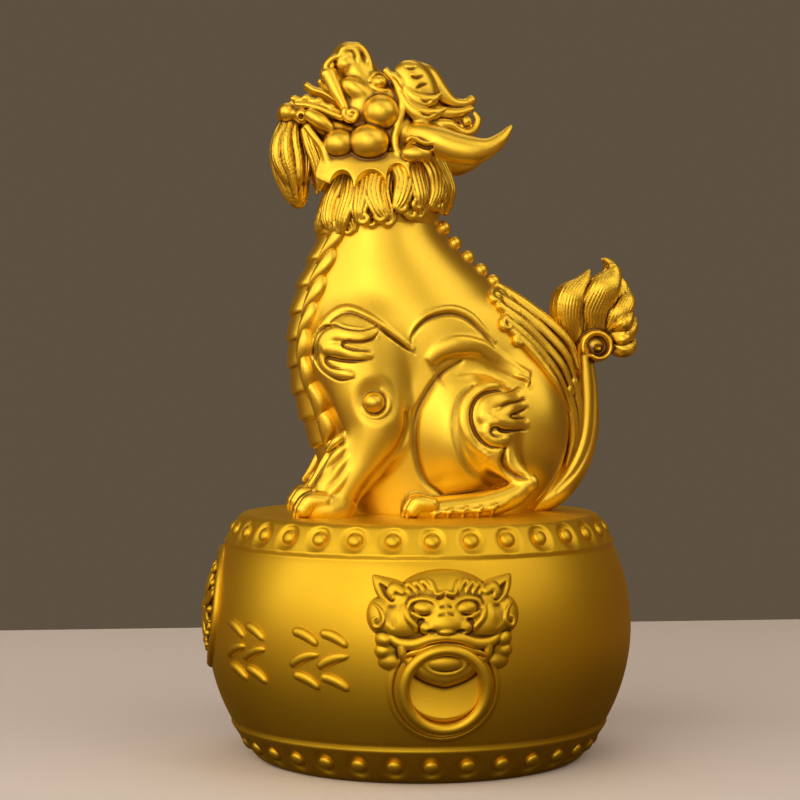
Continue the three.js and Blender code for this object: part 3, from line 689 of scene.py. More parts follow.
# %% Curls, leg locks and foot marks
def coil(middle, outer, inner, turns, begin, steps=14):
    """Points of y, z on a spiral that winds inwards from the angle begin, in degrees."""
    s = np.linspace(0, 1, steps)
    angle = np.radians(begin + 360 * turns * s)
    radius = outer + (inner - outer) * s
    return np.column_stack([middle[0] + radius * np.cos(angle), middle[1] + radius * np.sin(angle)])


# The curl on the elbow: a dish, a ball in it and a ring round the ball.
boss = body.side_at(-18.4, 123.2)
body.ball((boss + 0.9, -17.4, 124.0), (3.0, 6.4, 6.2), 3.5, cut=True)
body.ball((boss - 1.6, -18.4, 123.2), (3.8, 3.6, 3.5), 0.8)
body.line(coil((-18.2, 123.0), 5.2, 4.6, -0.6, 60, 10), 1.8, 0.7, 0.7, (0.4, 0.4), steps=3)
body.line(
    [[30.6, 132.2], [33.4, 131.6], [35.4, 130.2], [34.8, 128.4]], 1.4, 0.8, 0.4, (0.3, 0.3),
    steps=3,
)
body.limb(
    [[21, -25, 109, 3.4, 3.6], [21, -29.4, 101.6, 4.6, 4.4], [21, -34.6, 94.4, 5.4, 4.0]], 2.5,
)
LEG_LOCKS = [
    [[23.0, -27.2, 113.0], [23.0, -30.6, 110.0], [22.0, -33.6, 106.6]],
    [[24.8, -26.4, 109.4], [24.4, -29.8, 106.3], [23.6, -32.4, 102.9], [22.6, -34.9, 98.9]],
    [
        [25.8, -26.6, 105.0], [25.6, -29.6, 101.6], [25.0, -31.9, 98.0], [24.0, -35.1, 95.0],
        [22.6, -38.3, 93.6],
    ],
    [
        [26.6, -27.0, 99.6], [26.4, -29.6, 95.9], [25.8, -32.4, 92.9], [24.6, -35.8, 91.6],
        [23.2, -38.8, 91.6],
    ],
    [[18.4, -30.0, 110], [18.2, -33.6, 104], [18.4, -36.6, 98.4], [18.8, -39.6, 94.8]],
]
for lock in LEG_LOCKS:
    wide = np.interp(np.linspace(0, 1, len(lock)), (0, 0.35, 0.8, 1), (0.8, 1.7, 1.6, 0.8))
    body.limb([[*p, w, w] for p, w in zip(lock, wide)], 0.7, (0, 0.6, 0.6))
for y, z, size in [
    [3.5, 89.6, 2.5], [8.6, 90.6, 2.5], [13.6, 91.1, 2.4], [18.6, 91.5, 2.3], [23.4, 92.6, 2.1],
]:
    body.line(
        coil((y, z - 1.4), size, size, 0.5, 90, 7), 1.5, 1.0, 0.3, (0.2, 0.2), (-1, 0, -0.7), 2,
    )
body.line([[0, 85.9], [8, 86.6], [17, 87], [24, 88.6], [28.6, 91.4]], 1.6, 0.6, 0.5)
print("curls, locks and foot marks in place")


# %% [markdown]
# The head is thrown back with the mouth open to the sky. The skull is an egg, both jaws are limbs
# whose widths and thicknesses shrink towards the tip, and the cheeks are plain balls, which is how
# such heads are modelled. It is worked in finer cells than the body, as its parts are smaller.

# %% Skull, jaws and cheeks
head = Clay((0, -53, 184), (25, 31.5, 250.2), 0.36)
head.ball((0, -11, 218), (15.6, 17, 18), 0)
head.limb([[0, -12, 212, 14, 16], [0, -12, 200, 15.5, 17.5], [0, -12, 190, 15.5, 17.5]], 3)
UPPER_JAW = [
    [0, -9, 222, 13, 10],
    [0, -15.5, 228.2, 12.4, 9.2],
    [0, -20.5, 234.4, 10.6, 8.0],
    [0, -23.6, 239.6, 9.0, 7.4],
    [0, -24.6, 242.7, 7.6, 6.2],
    [0, -24.4, 245.1, 5.4, 3.6],
]
LOWER_JAW = [
    [0, -19, 212.5, 14, 9.5],
    [0, -26, 215, 13.4, 7.4],
    [0, -31.5, 217.8, 12, 5.6],
    [0, -37.5, 220.6, 10, 4.4],
    [0, -42.6, 222.6, 7.8, 3.6],
    [0, -45.4, 223.2, 4.8, 2.6],
]
head.limb(UPPER_JAW, 3)
head.limb(LOWER_JAW, 2)
head.limb(
    [
        [0, -19, 219.5, 7, 2], [0, -26, 224.4, 9.4, 3], [0, -33, 229.4, 10.4, 4.6],
        [0, -41, 235, 11, 7],
    ],
    1.2, cut=True,
)
# Cheeks: three balls, and two more behind the lip.
head.ball((14.2, -14.7, 222.5), (6.2, 6.2, 6.2), 0.8)
head.ball((14.4, -18.8, 212.2), (6.6, 7.0, 6.5), 0.8)
head.ball((12.2, -28.8, 211.7), (5.6, 5.7, 5.3), 0.8)
head.ball((9.8, -22.6, 230.4), (4.2, 6.4, 3.9), 1.4, (-0.62, 0, 0))
head.ball((10.2, -20.6, 223.6), (3.6, 5.4, 6.0), 1.5)
# The tip of the lower jaw, with a small hole beside it.
head.ball((3.4, -46.3, 223.5), (3.4, 3.2, 3.4), 0.7)
head.ball((0, -47.0, 223.0), (3.2, 3.0, 3.4), 1.0)
head.ball((8.4, -41.4, 221.8), (2.6, 2.7, 2.7), 0.6)
head.ball((10.6, -42.0, 221.2), (1.3, 0.9, 1.0), 0.4, cut=True)
head.limb(
    [[10.8, -38.8, 221.8, 2.2, 2.2], [11.6, -35.6, 219.6, 2.9, 2.6], [12, -32.4, 217.4, 1.8, 1.8]],
    0.6,
)
print("skull, jaws and cheeks in place")

# %% [markdown]
# Nose and mouth. The nostril is wrapped by two folds, one inside the other, and the lip is a roll
# with a row of small teeth behind it. The tongue curls up at its tip, and the corner of the mouth
# ends in a coil.

# %% Nose, lips, teeth and tongue
NOSE_WING = [
    [-33.0, 237.6], [-33, 240.3], [-31.1, 242.6], [-28.4, 243.8], [-27.2, 245.9], [-24.9, 247.2],
    [-22.1, 247.3], [-19.8, 245.4], [-18.2, 242.0], [-17.6, 237.6],
]
NOSE_FOLD = [
    [-27.4, 243.0], [-26.2, 245.0], [-23.9, 245.3], [-22.3, 243.3], [-21.5, 239.7], [-20.6, 236.9],
]
head.ball((5.4, -26.4, 240.0), (4.4, 3.8, 3.6), 0.8)
head.ball((4.4, -22.6, 244.4), (3.8, 3.6, 3.6), 0.8)
head.limb(
    [[7.2 - 0.5 * abs(i - 4) ** 0.5, y, z - 0.9, 2.2, 1.35] for i, (y, z) in enumerate(NOSE_WING)],
    0.9,
)
head.limb([[7.2, y, z - 0.2, 2.0, 1.3] for y, z in NOSE_FOLD], 0.4)
head.ball((6.0, -25.6, 242.6), (3.2, 2.7, 2.3), 0.8, (0.6, 0, 0))
head.limb(
    [[6.6, -31.6, 241.2, 1.1, 1.1], [7, -31.2, 239.3, 1.2, 1.1], [6.6, -32.6, 238.7, 0.9, 0.9]],
    0.4,
)
head.ball((6.0, -18.6, 238.6), (2.8, 2.2, 3.4), 0.8)
UPPER_LIP = [
    [10, -33.2, 236.4], [10.4, -31.6, 232.9], [10.9, -29.9, 229.1], [11.3, -28.2, 225.7],
    [11.8, -26.9, 222.9],
]
head.limb(
    [[x, y + 0.5, z, 1.8, w] for (x, y, z), w in zip(UPPER_LIP, (2.6, 2.4, 2.1, 1.7, 1.2))], 0.8,
)
head.limb([[x - 1.4, y + 2.4, z + 0.7, 1.4, 1.3] for x, y, z in UPPER_LIP], 1.0)
LOWER_LIP = [
    [8.6, -43.2, 225.6], [9.4, -39.4, 225.2], [10.4, -35.3, 224.0], [11.2, -31.4, 222.2],
    [11.8, -28.0, 220.8],
]
head.limb([[x, y, z, 1.3, 1.1] for x, y, z in LOWER_LIP], 0.4)
GUM = [
    [6.6, -43.6, 227.0], [7.8, -39.6, 227.2], [9, -35.3, 226.0], [10, -31.2, 223.8],
    [10.8, -28.2, 222.2],
]
head.limb([[x, y, z, 1.2, 1.2] for x, y, z in GUM], 0.4)
for x, y, z in GUM[:4]:
    head.ball((x + 0.2, y - 0.4, z + 0.8), (1.3, 1.6, 1.3), 0.6)
TONGUE = [
    [0, -24, 223.2, 6.4, 2.2], [0, -29.8, 227.6, 6.0, 2.0], [0, -33.6, 230.2, 5.2, 1.9],
    [0, -37, 231.4, 4.0, 1.7], [0, -39.4, 233.2, 2.6, 1.4],
]
head.limb(TONGUE, 0.6)
CORNER = coil((-24.8, 221.9), 2.7, 0.5, 1.25, 150)
head.limb([[13.4, y, z, 1.1, 1.0] for y, z in CORNER], 0.4, steps=2)
print("nose, lips, teeth and tongue in place")

# %% [markdown]
# Eye and brow. The eye is a ball between two lids, deep behind the muzzle. A strap of skin runs
# down behind it, and the brow above is a big leaf with rolled edges and a few notches.

# %% Eye, strap and brow
head.ball((10.6, -15.1, 233.2), (3.4, 2.9, 2.7), 0.6)
head.line(
    [[-18.6, 233.6], [-17.3, 235.9], [-15.2, 236.7], [-12.8, 236.0], [-11, 234.4]], 1.5, 0.9, 0.4,
)
head.line([[-18.6, 232.8], [-16.6, 230.9], [-14, 230.2], [-11, 230.6]], 1.5, 0.8, 0.4)
STRAP = [
    [-12.4, 237.4], [-10.0, 234.4], [-8.4, 230.7], [-7.5, 226.9], [-7.6, 222.5], [-9.1, 217.7],
    [-10.1, 213.5], [-9.6, 209.4], [-7.7, 206.0],
]
head.limb(
    [
        [x, y, z, 1.25, 1.3]
        for x, (y, z) in zip((10.6, 12, 13.2, 14.2, 15, 15.6, 16, 16.4, 16.6), STRAP)
    ],
    1.0,
)
head.ball((10.4, -2.6, 231.2), (5.2, 7.4, 10.6), 0.8, (0.42, 0, 0))
head.limb(
    [
        [14.2, -7.4, 228.6, 1.3, 1.2], [15.2, -5.2, 224.6, 2.0, 1.6], [15.6, -1.2, 222.0, 2.7, 1.8],
        [15.2, 3.4, 222.2, 2.0, 1.5], [14.0, 7.8, 224.2, 0.6, 0.6],
    ],
    0.4, (0, 0.5, 1),
)
head.limb(
    [
        [13.6, -7.0, 232.0, 1.2, 1.1], [15.0, -4.4, 228.6, 2.0, 1.4], [15.4, -0.6, 226.6, 2.5, 1.5],
        [14.8, 3.4, 227.2, 1.6, 1.2], [13.6, 6.0, 229.2, 0.6, 0.6],
    ],
    0.4, (0, 0.5, 1),
)
head.line([[-11.0, 236.6], [-8.4, 234.0], [-7.2, 231.0]], 2.0, 1.0, 0.5, (0.2, 0.3))
for notch in (
    [[-2.8, 230.6], [-0.8, 232.0], [1.6, 232.4]],
    [[-1.4, 226.8], [0.8, 226.0], [2.6, 226.8]],
    [[-5.0, 235.2], [-2.4, 234.6], [0.2, 235.6]],
    [[-6.4, 238.4], [-4.2, 237.8], [-2.4, 238.6]],
    [[-2.0, 222.6], [1.0, 221.4], [4.0, 222.2]],
):
    head.line(notch, 1.1, -0.7, 0.3, (0.3, 0.4))
print("eye, strap and brow in place")

# %% [markdown]
# Behind the brow. The horn sweeps back and turns up, the crest ends in a knob, and a curl like a
# hook lies between them. The ear is a cup: a lobe with a hollow cut in it under a wavy rim.

# %% Crest, hook, horn and ear
CREST = [
    [6.6, -3, 238.6, 4.0, 3.4],
    [6.8, 2.4, 236.4, 4.0, 3.6],
    [6.6, 6.4, 231.0, 3.8, 3.4],
    [6.4, 10.6, 227.4, 3.2, 2.4],
    [6.2, 14.6, 226.8, 2.6, 1.9],
    [6.2, 17.6, 227.9, 2.0, 1.8],
]
head.limb(CREST, 1.2, (1, 0, 0))
head.ball((6.2, 17.6, 228.2), (2.1, 1.8, 1.8), 0.4)
head.limb(
    [
        [9, 2, 223.4, 3.6, 3.6], [8.8, 8, 222.9, 3, 2.6], [8.4, 13, 223.4, 2.4, 1.8],
        [8, 17.6, 225.0, 1.2, 1.0],
    ],
    0.8,
)
HOOK = [
    [12.6, 3, 218.0, 3, 2.8], [12, 9, 218.6, 2.4, 2.2], [11.2, 12.4, 216.9, 2.1, 1.8],
    [10.6, 15.7, 216.2, 2, 1.6], [10.2, 18.4, 217.8, 1.8, 1.4], [10, 19.5, 220.8, 1.5, 1.2],
    [10, 18.4, 223.0, 1.0, 0.9],
]
head.limb(HOOK, 0.7)
head.ball((9.6, 15.6, 220.4), (1.8, 1.9, 1.9), 0.4)
HORN = [
    [10.0, -8, 216.2, 3.4, 3.6],
    [14.6, -2, 214.9, 4.5, 4.5],
    [17.6, 4, 212.6, 5.0, 5.2],
    [19.2, 10, 210.2, 4.8, 5.4],
    [20.4, 16, 209.1, 4.2, 4.9],
    [20.8, 21.4, 210.1, 3.1, 3.4],
    [20.4, 25.8, 213.0, 2.3, 2.4],
    [19.8, 28.6, 216.2, 1.3, 1.3],
    [19.6, 29.6, 217.6, 0.7, 0.7],
]
head.limb(HORN, 2.0)
EAR_RIM = [
    [-6.2, 212.4], [-5.2, 213.3], [-3.6, 213.0], [-2.0, 212.0], [0.3, 211.4], [2.2, 211.8],
    [4.2, 212.6],
]
EAR_CUP = [[-5.6, 211.4], [-3.6, 211.2], [-1.8, 210.4], [0.2, 209.8], [2.0, 210.1]]
# The ear's root and its lobe.
head.ball((18.2, -2.0, 208.8), (3.4, 5.2, 4.4), 0.6)
head.ball((20.2, -3.0, 207.9), (3.0, 5.3, 3.1), 0.4)
head.limb([[21.2, y, z, 1.1, 0.8] for y, z in EAR_RIM], 0.3, steps=4)
head.limb([[22.6, y, z, 2.4, 0.75] for y, z in EAR_CUP], 0.2, steps=4, cut=True)
print("crest, hook, horn and ear in place")

# %% [markdown]
# The frill is the scalloped edge of the skin below the cheeks. A smooth band is laid round the jaw
# and eggs are cut from its lower edge, so a point is left between two round arches. The beard is a
# bunch of combed locks that hang from the chin.

# %% Frill and beard
FRILL = [
    [12.0, -35, 204.6, 5.4, 1.3],
    [13.6, -32.6, 204.0, 6.2, 1.4],
    [15.4, -28.4, 203.2, 7.0, 1.4],
    [16.9, -24, 202.2, 7.0, 1.4],
    [17.6, -18.6, 202.2, 7.0, 1.4],
    [17.8, -13.1, 202.4, 7.0, 1.4],
    [17.6, -9.5, 204.0, 6.0, 1.4],
    [17.4, -5.8, 205.8, 6.0, 1.4],
    [17.0, -2.6, 208.6, 4.2, 1.2],
]
head.limb(FRILL, 0.8, (-0.38, 0, 1), 8)
ARCHES = [
    [17.4, -28.4, 195.8, 4.4, 6.6], [19.9, -18.6, 195.6, 5.4, 7.2], [19.9, -9.6, 199.6, 3.8, 5.4],
    [19.4, -2.2, 202.8, 3.2, 5.4],
]
for x, y, z, wide, high in ARCHES:
    head.ball((x, y, z), (4.0, wide, high), 0.3, cut=True)
JAW_LINE = [[11.5, -40.0, 217.4], [12.4, -37.4, 213.8], [12.8, -34.6, 209.8], [13.4, -33.0, 205.4]]
head.limb([[x, y, z, 1.4, 1.3] for x, y, z in JAW_LINE], 0.8)
BEARD = [
    [0, -45.2, 220.4, 3.4, 3.4],
    [0, -45.8, 215.2, 4.6, 5.6],
    [0, -45.6, 209.4, 5.2, 6.9],
    [0, -44.8, 203.4, 5.0, 6.6],
    [0, -43.6, 197.6, 4.2, 5.2],
    [0, -42.6, 193.4, 2.8, 3.4],
    [0, -42.2, 191.4, 1.2, 1.4],
]
head.limb(BEARD, 0.4, (1, 0, 0), comb=(7, 0.5))
for x, shift, low, bend in (
    (3.2, -3.4, 196.4, 1.6),
    (4.8, -0.6, 193.0, 0.4),
    (4.4, 2.4, 197.6, -0.8),
    (3.0, 4.6, 202, -1.2),
):
    lock = [
        [x * 0.6, -44.6 + shift * 0.5, 220, 1.8, 2.0],
        [x, -46.0 + shift, 214.0, 2.1, 2.5],
        [x * 1.15, -45.6 + 1.25 * shift, 207.4, 2.3, 2.6],
        [x * 1.1, -44.2 + 1.0 * shift + bend * 0.4, 201.4, 1.9, 2.3],
        [x * 0.8, -43.2 + shift * 0.6 + bend, low, 0.7, 0.8],
    ]
    head.limb(lock, 0.3, (0, 1, 0), comb=(5, 0.5))
BACK_LOCK = [
    [6, -39.6, 217, 2.4, 2.2],
    [7.4, -38.0, 212, 3.0, 2.4],
    [7.9, -36.0, 206.6, 3.0, 2.4],
    [7.6, -35.0, 201, 2.4, 2],
    [7, -35.6, 196.4, 0.7, 0.7],
]
head.limb(BACK_LOCK, 0.4, (0, 1, 0), comb=(5, 0.5))
print("frill and beard in place")

# %% [markdown]
# The mane is a ring of heavy locks below the frill. Every lock follows the same five rings round
# the neck, and its tip rolls up into a curl. A fixed table of small shifts makes neighbours differ.
# A core under the locks closes the gaps, and a second, prouder row covers where the first parts.

# %% Mane
mane = Clay((0, -45, 174.5), (26, 18.5, 214), 0.35)
# From the frill down: the middle's y, z, and how far the hair stands out in front and at the sides.
MANE_RINGS = [
    [-12, 210, 14.0, 12.6],
    [-12, 204, 17.4, 14.4],
    [-12, 197, 20.4, 17.2],
    [-12, 190, 22.6, 19.2],
    [-12, 185.5, 22.4, 19.4],
]
MANE_LEAN = 0.27
SHIFTS = [0.3, -0.5, 0.7, -0.2, 0.6, -0.7, 0.1, 0.5, -0.4, 0.6]


def mane_lock(angle, sway, drop, size, side, proud):
    """One lock, at this angle from the front. Its tip curls to one side, like a shell."""
    rows = []
    for i, (y0, z, deep, wide) in enumerate(MANE_RINGS):
        a = math.radians(angle + sway * (0, 3, 8, 2, -5)[i])
        reach = proud - size * 0.3
        x = math.sin(a) * (wide + reach)
        y = y0 - math.cos(a) * (deep + reach)
        z = z + MANE_LEAN * (y - y0) - drop * max(0, i - 1) / 3
        half = (0.8, 1.05, 1.05, 0.9, 0.5)[i] * size
        deep = (0.8, 1, 1, 0.85, 0.5)[i] * size * 0.7
        rows.append([x, y, z, half, deep])
    mane.limb(rows, 0.35, (math.cos(a), math.sin(a), 0), 5, comb=(5, 0.5))
    level = np.array([math.cos(a), math.sin(a)]) * side
    out = np.array([math.sin(a), -math.cos(a)])
    curl = []
    for k in range(9):
        turn = math.radians(45 * k)
        r = 1.9 - 0.16 * k
        shift = level * (1.9 - r * math.cos(turn))
        thick = 1.25 - 0.07 * k
        curl.append(
            [
                x + shift[0] + out[0] * 0.08 * k,
                y + shift[1] + out[1] * 0.08 * k,
                z + 0.6 - r * math.sin(turn),
                thick,
                thick,
            ]
        )
    mane.limb(curl, 0.25, (0, 0.1, 1), 3)


CORE = [
    [0, -12, 212, 11, 12.5], [0, -12, 202, 13.8, 16.4], [0, -12.5, 193, 17.2, 20.0],
    [0, -13, 187.5, 17.0, 19.6],
]
mane.limb(CORE, 0)
for i in range(11):
    mane_lock(1 + 17.6 * i, SHIFTS[i % 10], 1.6 * SHIFTS[-(i % 10) - 1], 3.5, (-1) ** i, 0.0)
for i in range(10):
    mane_lock(
        10 + 17.8 * i, SHIFTS[-i - 1] * 1.2, -2.2 + 1.8 * SHIFTS[i], 3.8, (-1) ** (i + 1), 1.5,
    )
print("mane in place")

# %% [markdown]
# Hair on the back. It starts in curls behind the last bead and runs down both sides of the
# spine to the root of the tail, in combed locks laid like roof tiles. The locks are drawn as seen
# from the side, so each point has to find its own place across: on the flank where there is one,
# and else on the round of the back, by its distance from the back's edge.

# %% Hair on the back
back_hair = Clay((0, 20, 96), (27, 62, 170), 0.38)
back_hair.limb(
    [[0, 28, 160.6, 6, 4], [0, 38, 153, 7, 5], [0, 47, 144, 7, 5.6], [0, 51.4, 134, 6.4, 5]], 0,
)
# Each lock's line in y, z, from its root to its tip, and its half width.
BACK_LOCKS = [
    ([[26.6, 163.4], [35.4, 157.8], [45.0, 150.4], [52.0, 143.4], [55.2, 134.6]], 2.7),
    ([[25.6, 160.2], [34.2, 154.4], [43.2, 146.8], [50.2, 139.0], [53.8, 130.0]], 2.7),
    ([[26.2, 156.4], [34.0, 150.4], [42.2, 143.0], [48.8, 135.0], [52.8, 126.0]], 2.7),
    ([[27.6, 152.2], [34.2, 146.6], [41.2, 139.6], [47.2, 131.6], [51.6, 122.6]], 2.5),
    ([[29.8, 147.8], [35.0, 143.0], [40.6, 136.8], [45.8, 129.4], [50.6, 120.0]], 2.1),
]
BACK_EDGE = spline(
    [
        [20, 172], [27.6, 165.6], [37.2, 159.2], [46.9, 151.7], [53.8, 144], [57, 134.6],
        [57.4, 122], [55.6, 108], [51, 96],
    ],
    6,
)
# The middle's y and z, the reach and the angle where it begins, of each curl.
BACK_CURLS = [
    (25.4, 159.4, 2.6, 30), (30.2, 159.8, 2.4, 70), (28.6, 149.8, 2.7, 20), (33.2, 151.0, 2.2, 60),
    (33.0, 144.4, 2.0, 30),
]


def beside(lines, proud):
    """Points of y, z laid where they are seen from the side: on the flank or the back's round."""
    points = []
    for y, z in lines:
        deep = np.hypot(BACK_EDGE[:, 0] - y, BACK_EDGE[:, 1] - z).min()
        x = math.sqrt(max(1, 24 * deep - deep**2))
        flank = body.side_at(y, z)
        points.append([max(x, flank) + proud if flank < 30 else x, y, z])
    return np.array(points)


for lines, size in BACK_LOCKS:
    points = beside(lines, 0.6)
    widths = size * np.array((0.85, 1.1, 1.05, 0.9, 0.5))
    back_hair.limb(
        np.column_stack([points, widths, widths * 0.7]), 0.3, (0.8, 0.4, -0.6), 7, comb=(4, 0.4),
    )
for y, z, r, begin in BACK_CURLS:
    points = beside(coil((y, z), r, 0.7, 1.1, begin, 12), 1.0)
    back_hair.limb([[*p, 1.25, 1.25] for p in points], 0.25, (1, 0, 0), 3)
for lines in (
    [[53.2, 130], [55.2, 121], [55.4, 111], [53.6, 101.6]],
    [[50.4, 127], [53.0, 118], [53.6, 109], [51.6, 100.6]],
):
    strand = [[*p, w, w * 0.75] for p, w in zip(beside(lines, 0.4), (1.9, 2.1, 1.8, 0.7))]
    back_hair.limb(strand, 0.3, (0, 1, 0.2), comb=(3, 0.4))
print("hair on the back in place")

# %% [markdown]
# The tail stands up from the drum behind the rump, curls over at its top, and carries a tuft of
# flame-like leaves. Each leaf is a wide flat limb with fine combing, and they differ in bend.

# %% Tail and tuft
tail = Clay((0, 34, 83.4), (13.8, 78.4, 175.2), 0.36)
TAIL = [
    [0, 38, 86.6, 6.2, 4.2],
    [0, 46, 89.4, 5.9, 4.8],
    [0, 52.4, 95.4, 5.6, 5.0],
    [0, 57, 104, 5.3, 5.0],
    [0, 59.2, 114, 5.0, 4.9],
    [0, 59.6, 124, 4.7, 4.3],
    [0, 59.2, 132.6, 4.7, 3.8],
    [0, 58.5, 138.6, 4.8, 3.2],
    [0, 57.6, 142.6, 4.9, 2.3],
]
tail.limb(TAIL, 0)
tail.line(
    [[48, 91.6], [55, 98.6], [59.4, 107], [61.2, 116], [61.6, 126], [61.0, 133], [60.2, 138]], 1.6,
    -0.4, 0.9,
)
# Each leaf: how far its middle lies aside, its line in y, z, half widths, thickness and strands.
LEAVES = [
    (
        5.0, [[55.5, 145.6], [52.6, 152.6], [53.4, 159.6], [57.8, 164.8], [60.6, 169.4]],
        (3.4, 5.2, 5.4, 2.8, 0.4), 3.4, 10,
    ),
    (3.2, [[57, 147], [57.6, 155.6], [60.2, 162.4], [62.4, 166.4]], (5.0, 6.0, 4.4, 0.5), 3.0, 9),
    (
        6.2,
        [[62.4, 149.6], [62.4, 156], [65.2, 162.6], [68.4, 167.6], [68.0, 171.4], [65.6, 173.6]],
        (4.6, 6.0, 5.4, 3.2, 1.5, 0.4), 3.6, 11,
    ),
    (
        4.6, [[68.2, 148.6], [70.8, 153.8], [73.6, 158.2], [74.6, 162.8]], (3.6, 4.3, 3.3, 0.5),
        3.0, 9,
    ),
    (1.4, [[66, 150], [69.4, 157.0], [71.8, 163.0], [71.2, 167.6]], (4.6, 5.0, 3.4, 0.5), 3.0, 8),
    (
        3.2, [[69.8, 146.6], [73.2, 147.2], [75.8, 149.4], [77.2, 152.4]], (3.2, 3.5, 2.2, 0.5),
        3.2, 4,
    ),
    (6.4, [[68.6, 149.4], [72.0, 150.4], [74.2, 153.4], [75.4, 157]], (2.4, 2.8, 2.0, 0.4), 2.4, 4),
    (
        2.6, [[68.8, 142.6], [72.4, 141.4], [75.2, 142.0], [77.2, 144.8]], (2.6, 3.0, 2.2, 0.5),
        3.0, 4,
    ),
    (
        5.0, [[68.6, 145.0], [71.8, 144.8], [74.0, 146.4], [75.0, 149.4]], (1.8, 2.2, 1.6, 0.4),
        2.2, 3,
    ),
]
tail.ball((0, 62.4, 149.4), (4.6, 6.6, 4.6), 1.0)
for x, points, wide, deep, strands in LEAVES:
    spread = np.interp(np.linspace(0, 1, len(points)), (0, 0.4, 1), (0.3, 1.0, 0.3))
    rows = []
    for (y, z), half, aside in zip(points, wide, spread):
        rows.append([x * aside, y, z, half, max(0.4, deep * (half / max(wide)) ** 0.7)])
    tail.limb(rows, 0.2, (0, 1, 0.15), 8, comb=(strands, 0.42))
# The curl that the tail's tip rolls into, with a filled middle and a button in it.
tail.ball((0, 63.0, 142.0), (2.6, 5.4, 5.2), 0.3)
share = np.linspace(0, 1, 24)
turn = np.radians(198 - 320 * share)
reach = 5.1 - 1.4 * share**3
middle = (62.7 + reach * np.cos(turn), 142.2 + reach * np.sin(turn))
size = (5.4 + 1.0 * share, 2.2 - 0.8 * np.minimum(1, 2.5 * share))
tail.limb(np.column_stack([0 * share, *middle, *size]), 0.3, steps=2)
tail.ball((0, 63.2, 141.6), (6.2, 1.5, 1.4), 0.3)
print("tail and tuft in place")

# %% [markdown]
# Skins of the beast. All five fields are finished, so each is turned to a piece of brass. Its limit
# of triangles goes by how much carving it carries, and stays below what an STL file may hold.

# %% Skins of the beast
# The lowest two layers of cells are kept empty, so paws and tail end flat just inside the drum.
for clay in (body, tail):
    clay.field[:, :, :2] = np.maximum(clay.field[:, :, :2], 0.3)
figure = {
    name: clay.skin(name, "beast_brass", limit)
    for name, clay, limit in (
        ("beast_body", body, 180_000),
        ("beast_head", head, 185_000),
        ("beast_mane", mane, 130_000),
        ("beast_back_hair", back_hair, 55_000),
        ("beast_tail", tail, 85_000),
    )
}

# %% [markdown]
# Trees of nodes. What repeats or follows a rule is made by Geometry Nodes, so that a size is
# changed in one place. Sums in a tree need a node each, which reads badly, so a small class lets
# them be written as plain sums.

# %% Sums in a tree
class Sum:
    """A number that flows through a tree of nodes, so that sums can be written plainly."""

    def __init__(self, tree, socket):
        self.tree = tree
        self.socket = socket

    def work(self, operation, *others):
        node = self.tree.nodes.new("ShaderNodeMath")
        node.operation = operation
        for socket, value in zip(node.inputs, (self, *others)):
            if isinstance(value, Sum):
                self.tree.links.new(value.socket, socket)
            else:
                socket.default_value = value
        return Sum(self.tree, node.outputs[0])

    def __add__(self, other):
        return self.work("ADD", other)

    def __sub__(self, other):
        return self.work("SUBTRACT", other)

    def __mul__(self, other):
        return self.work("MULTIPLY", other)

    def __truediv__(self, other):
        return self.work("DIVIDE", other)

    def step(self, start, end):
        """Rises softly from 0 at start to 1 at end."""
        node = self.tree.nodes.new("ShaderNodeMapRange")
        node.interpolation_type = "SMOOTHSTEP"
        for name, value in (("Value", self), ("From Min", start), ("From Max", end)):
            if isinstance(value, Sum):
                self.tree.links.new(value.socket, node.inputs[name])
            else:
                node.inputs[name].default_value = value
        return Sum(self.tree, node.outputs[0])

    def bell(self, middle, width):
        """1 at the middle, and near 0 further off than the width."""
        off = (self - middle) / width
        return (off * off * -1.0).work("EXPONENT")


print("sums ready")

# %% [markdown]
# Every tree begins and ends alike: named inputs with a size each, and at the end real faces, smooth
# shading and the brass. It is run once as a modifier on a small seed mesh. The result is kept as a
# plain mesh, because a modifier would not survive the export.

# %% Growing a piece from a tree
def new_tree(name, inputs):
    """An empty tree with named inputs, its input sockets, and a function that adds a node to it."""
    tree = bpy.data.node_groups.new(name, "GeometryNodeTree")
    tree.interface.new_socket("Geometry", in_out="INPUT", socket_type="NodeSocketGeometry")
    kinds = {float: "NodeSocketFloat", int: "NodeSocketInt"}
    for label, value in inputs.items():
        socket = tree.interface.new_socket(label, in_out="INPUT", socket_type=kinds[type(value)])
        socket.default_value = value
    tree.interface.new_socket("Material", in_out="INPUT", socket_type="NodeSocketMaterial")
    tree.interface.new_socket("Geometry", in_out="OUTPUT", socket_type="NodeSocketGeometry")
    given = tree.nodes.new("NodeGroupInput").outputs

    def add(kind, links=None, **settings):
        node = tree.nodes.new(kind)
        for key, value in settings.items():
            setattr(node, key, value)
        for key, value in (links or {}).items():
            value = value.socket if isinstance(value, Sum) else value
            if isinstance(value, bpy.types.NodeSocket):
                tree.links.new(value, node.inputs[key])
            else:
                node.inputs[key].default_value = value
        return node.outputs

    return tree, given, add


def end_tree(given, add, shape):
    """Ends a tree: real faces, smooth shading and the material."""
    real = add("GeometryNodeRealizeInstances", {"Geometry": shape})
    smooth = add("GeometryNodeSetShadeSmooth", {"Geometry": real[0]})
    made = add("GeometryNodeSetMaterial", {"Geometry": smooth[0], "Material": given["Material"]})
    add("NodeGroupOutput", {"Geometry": made[0]})


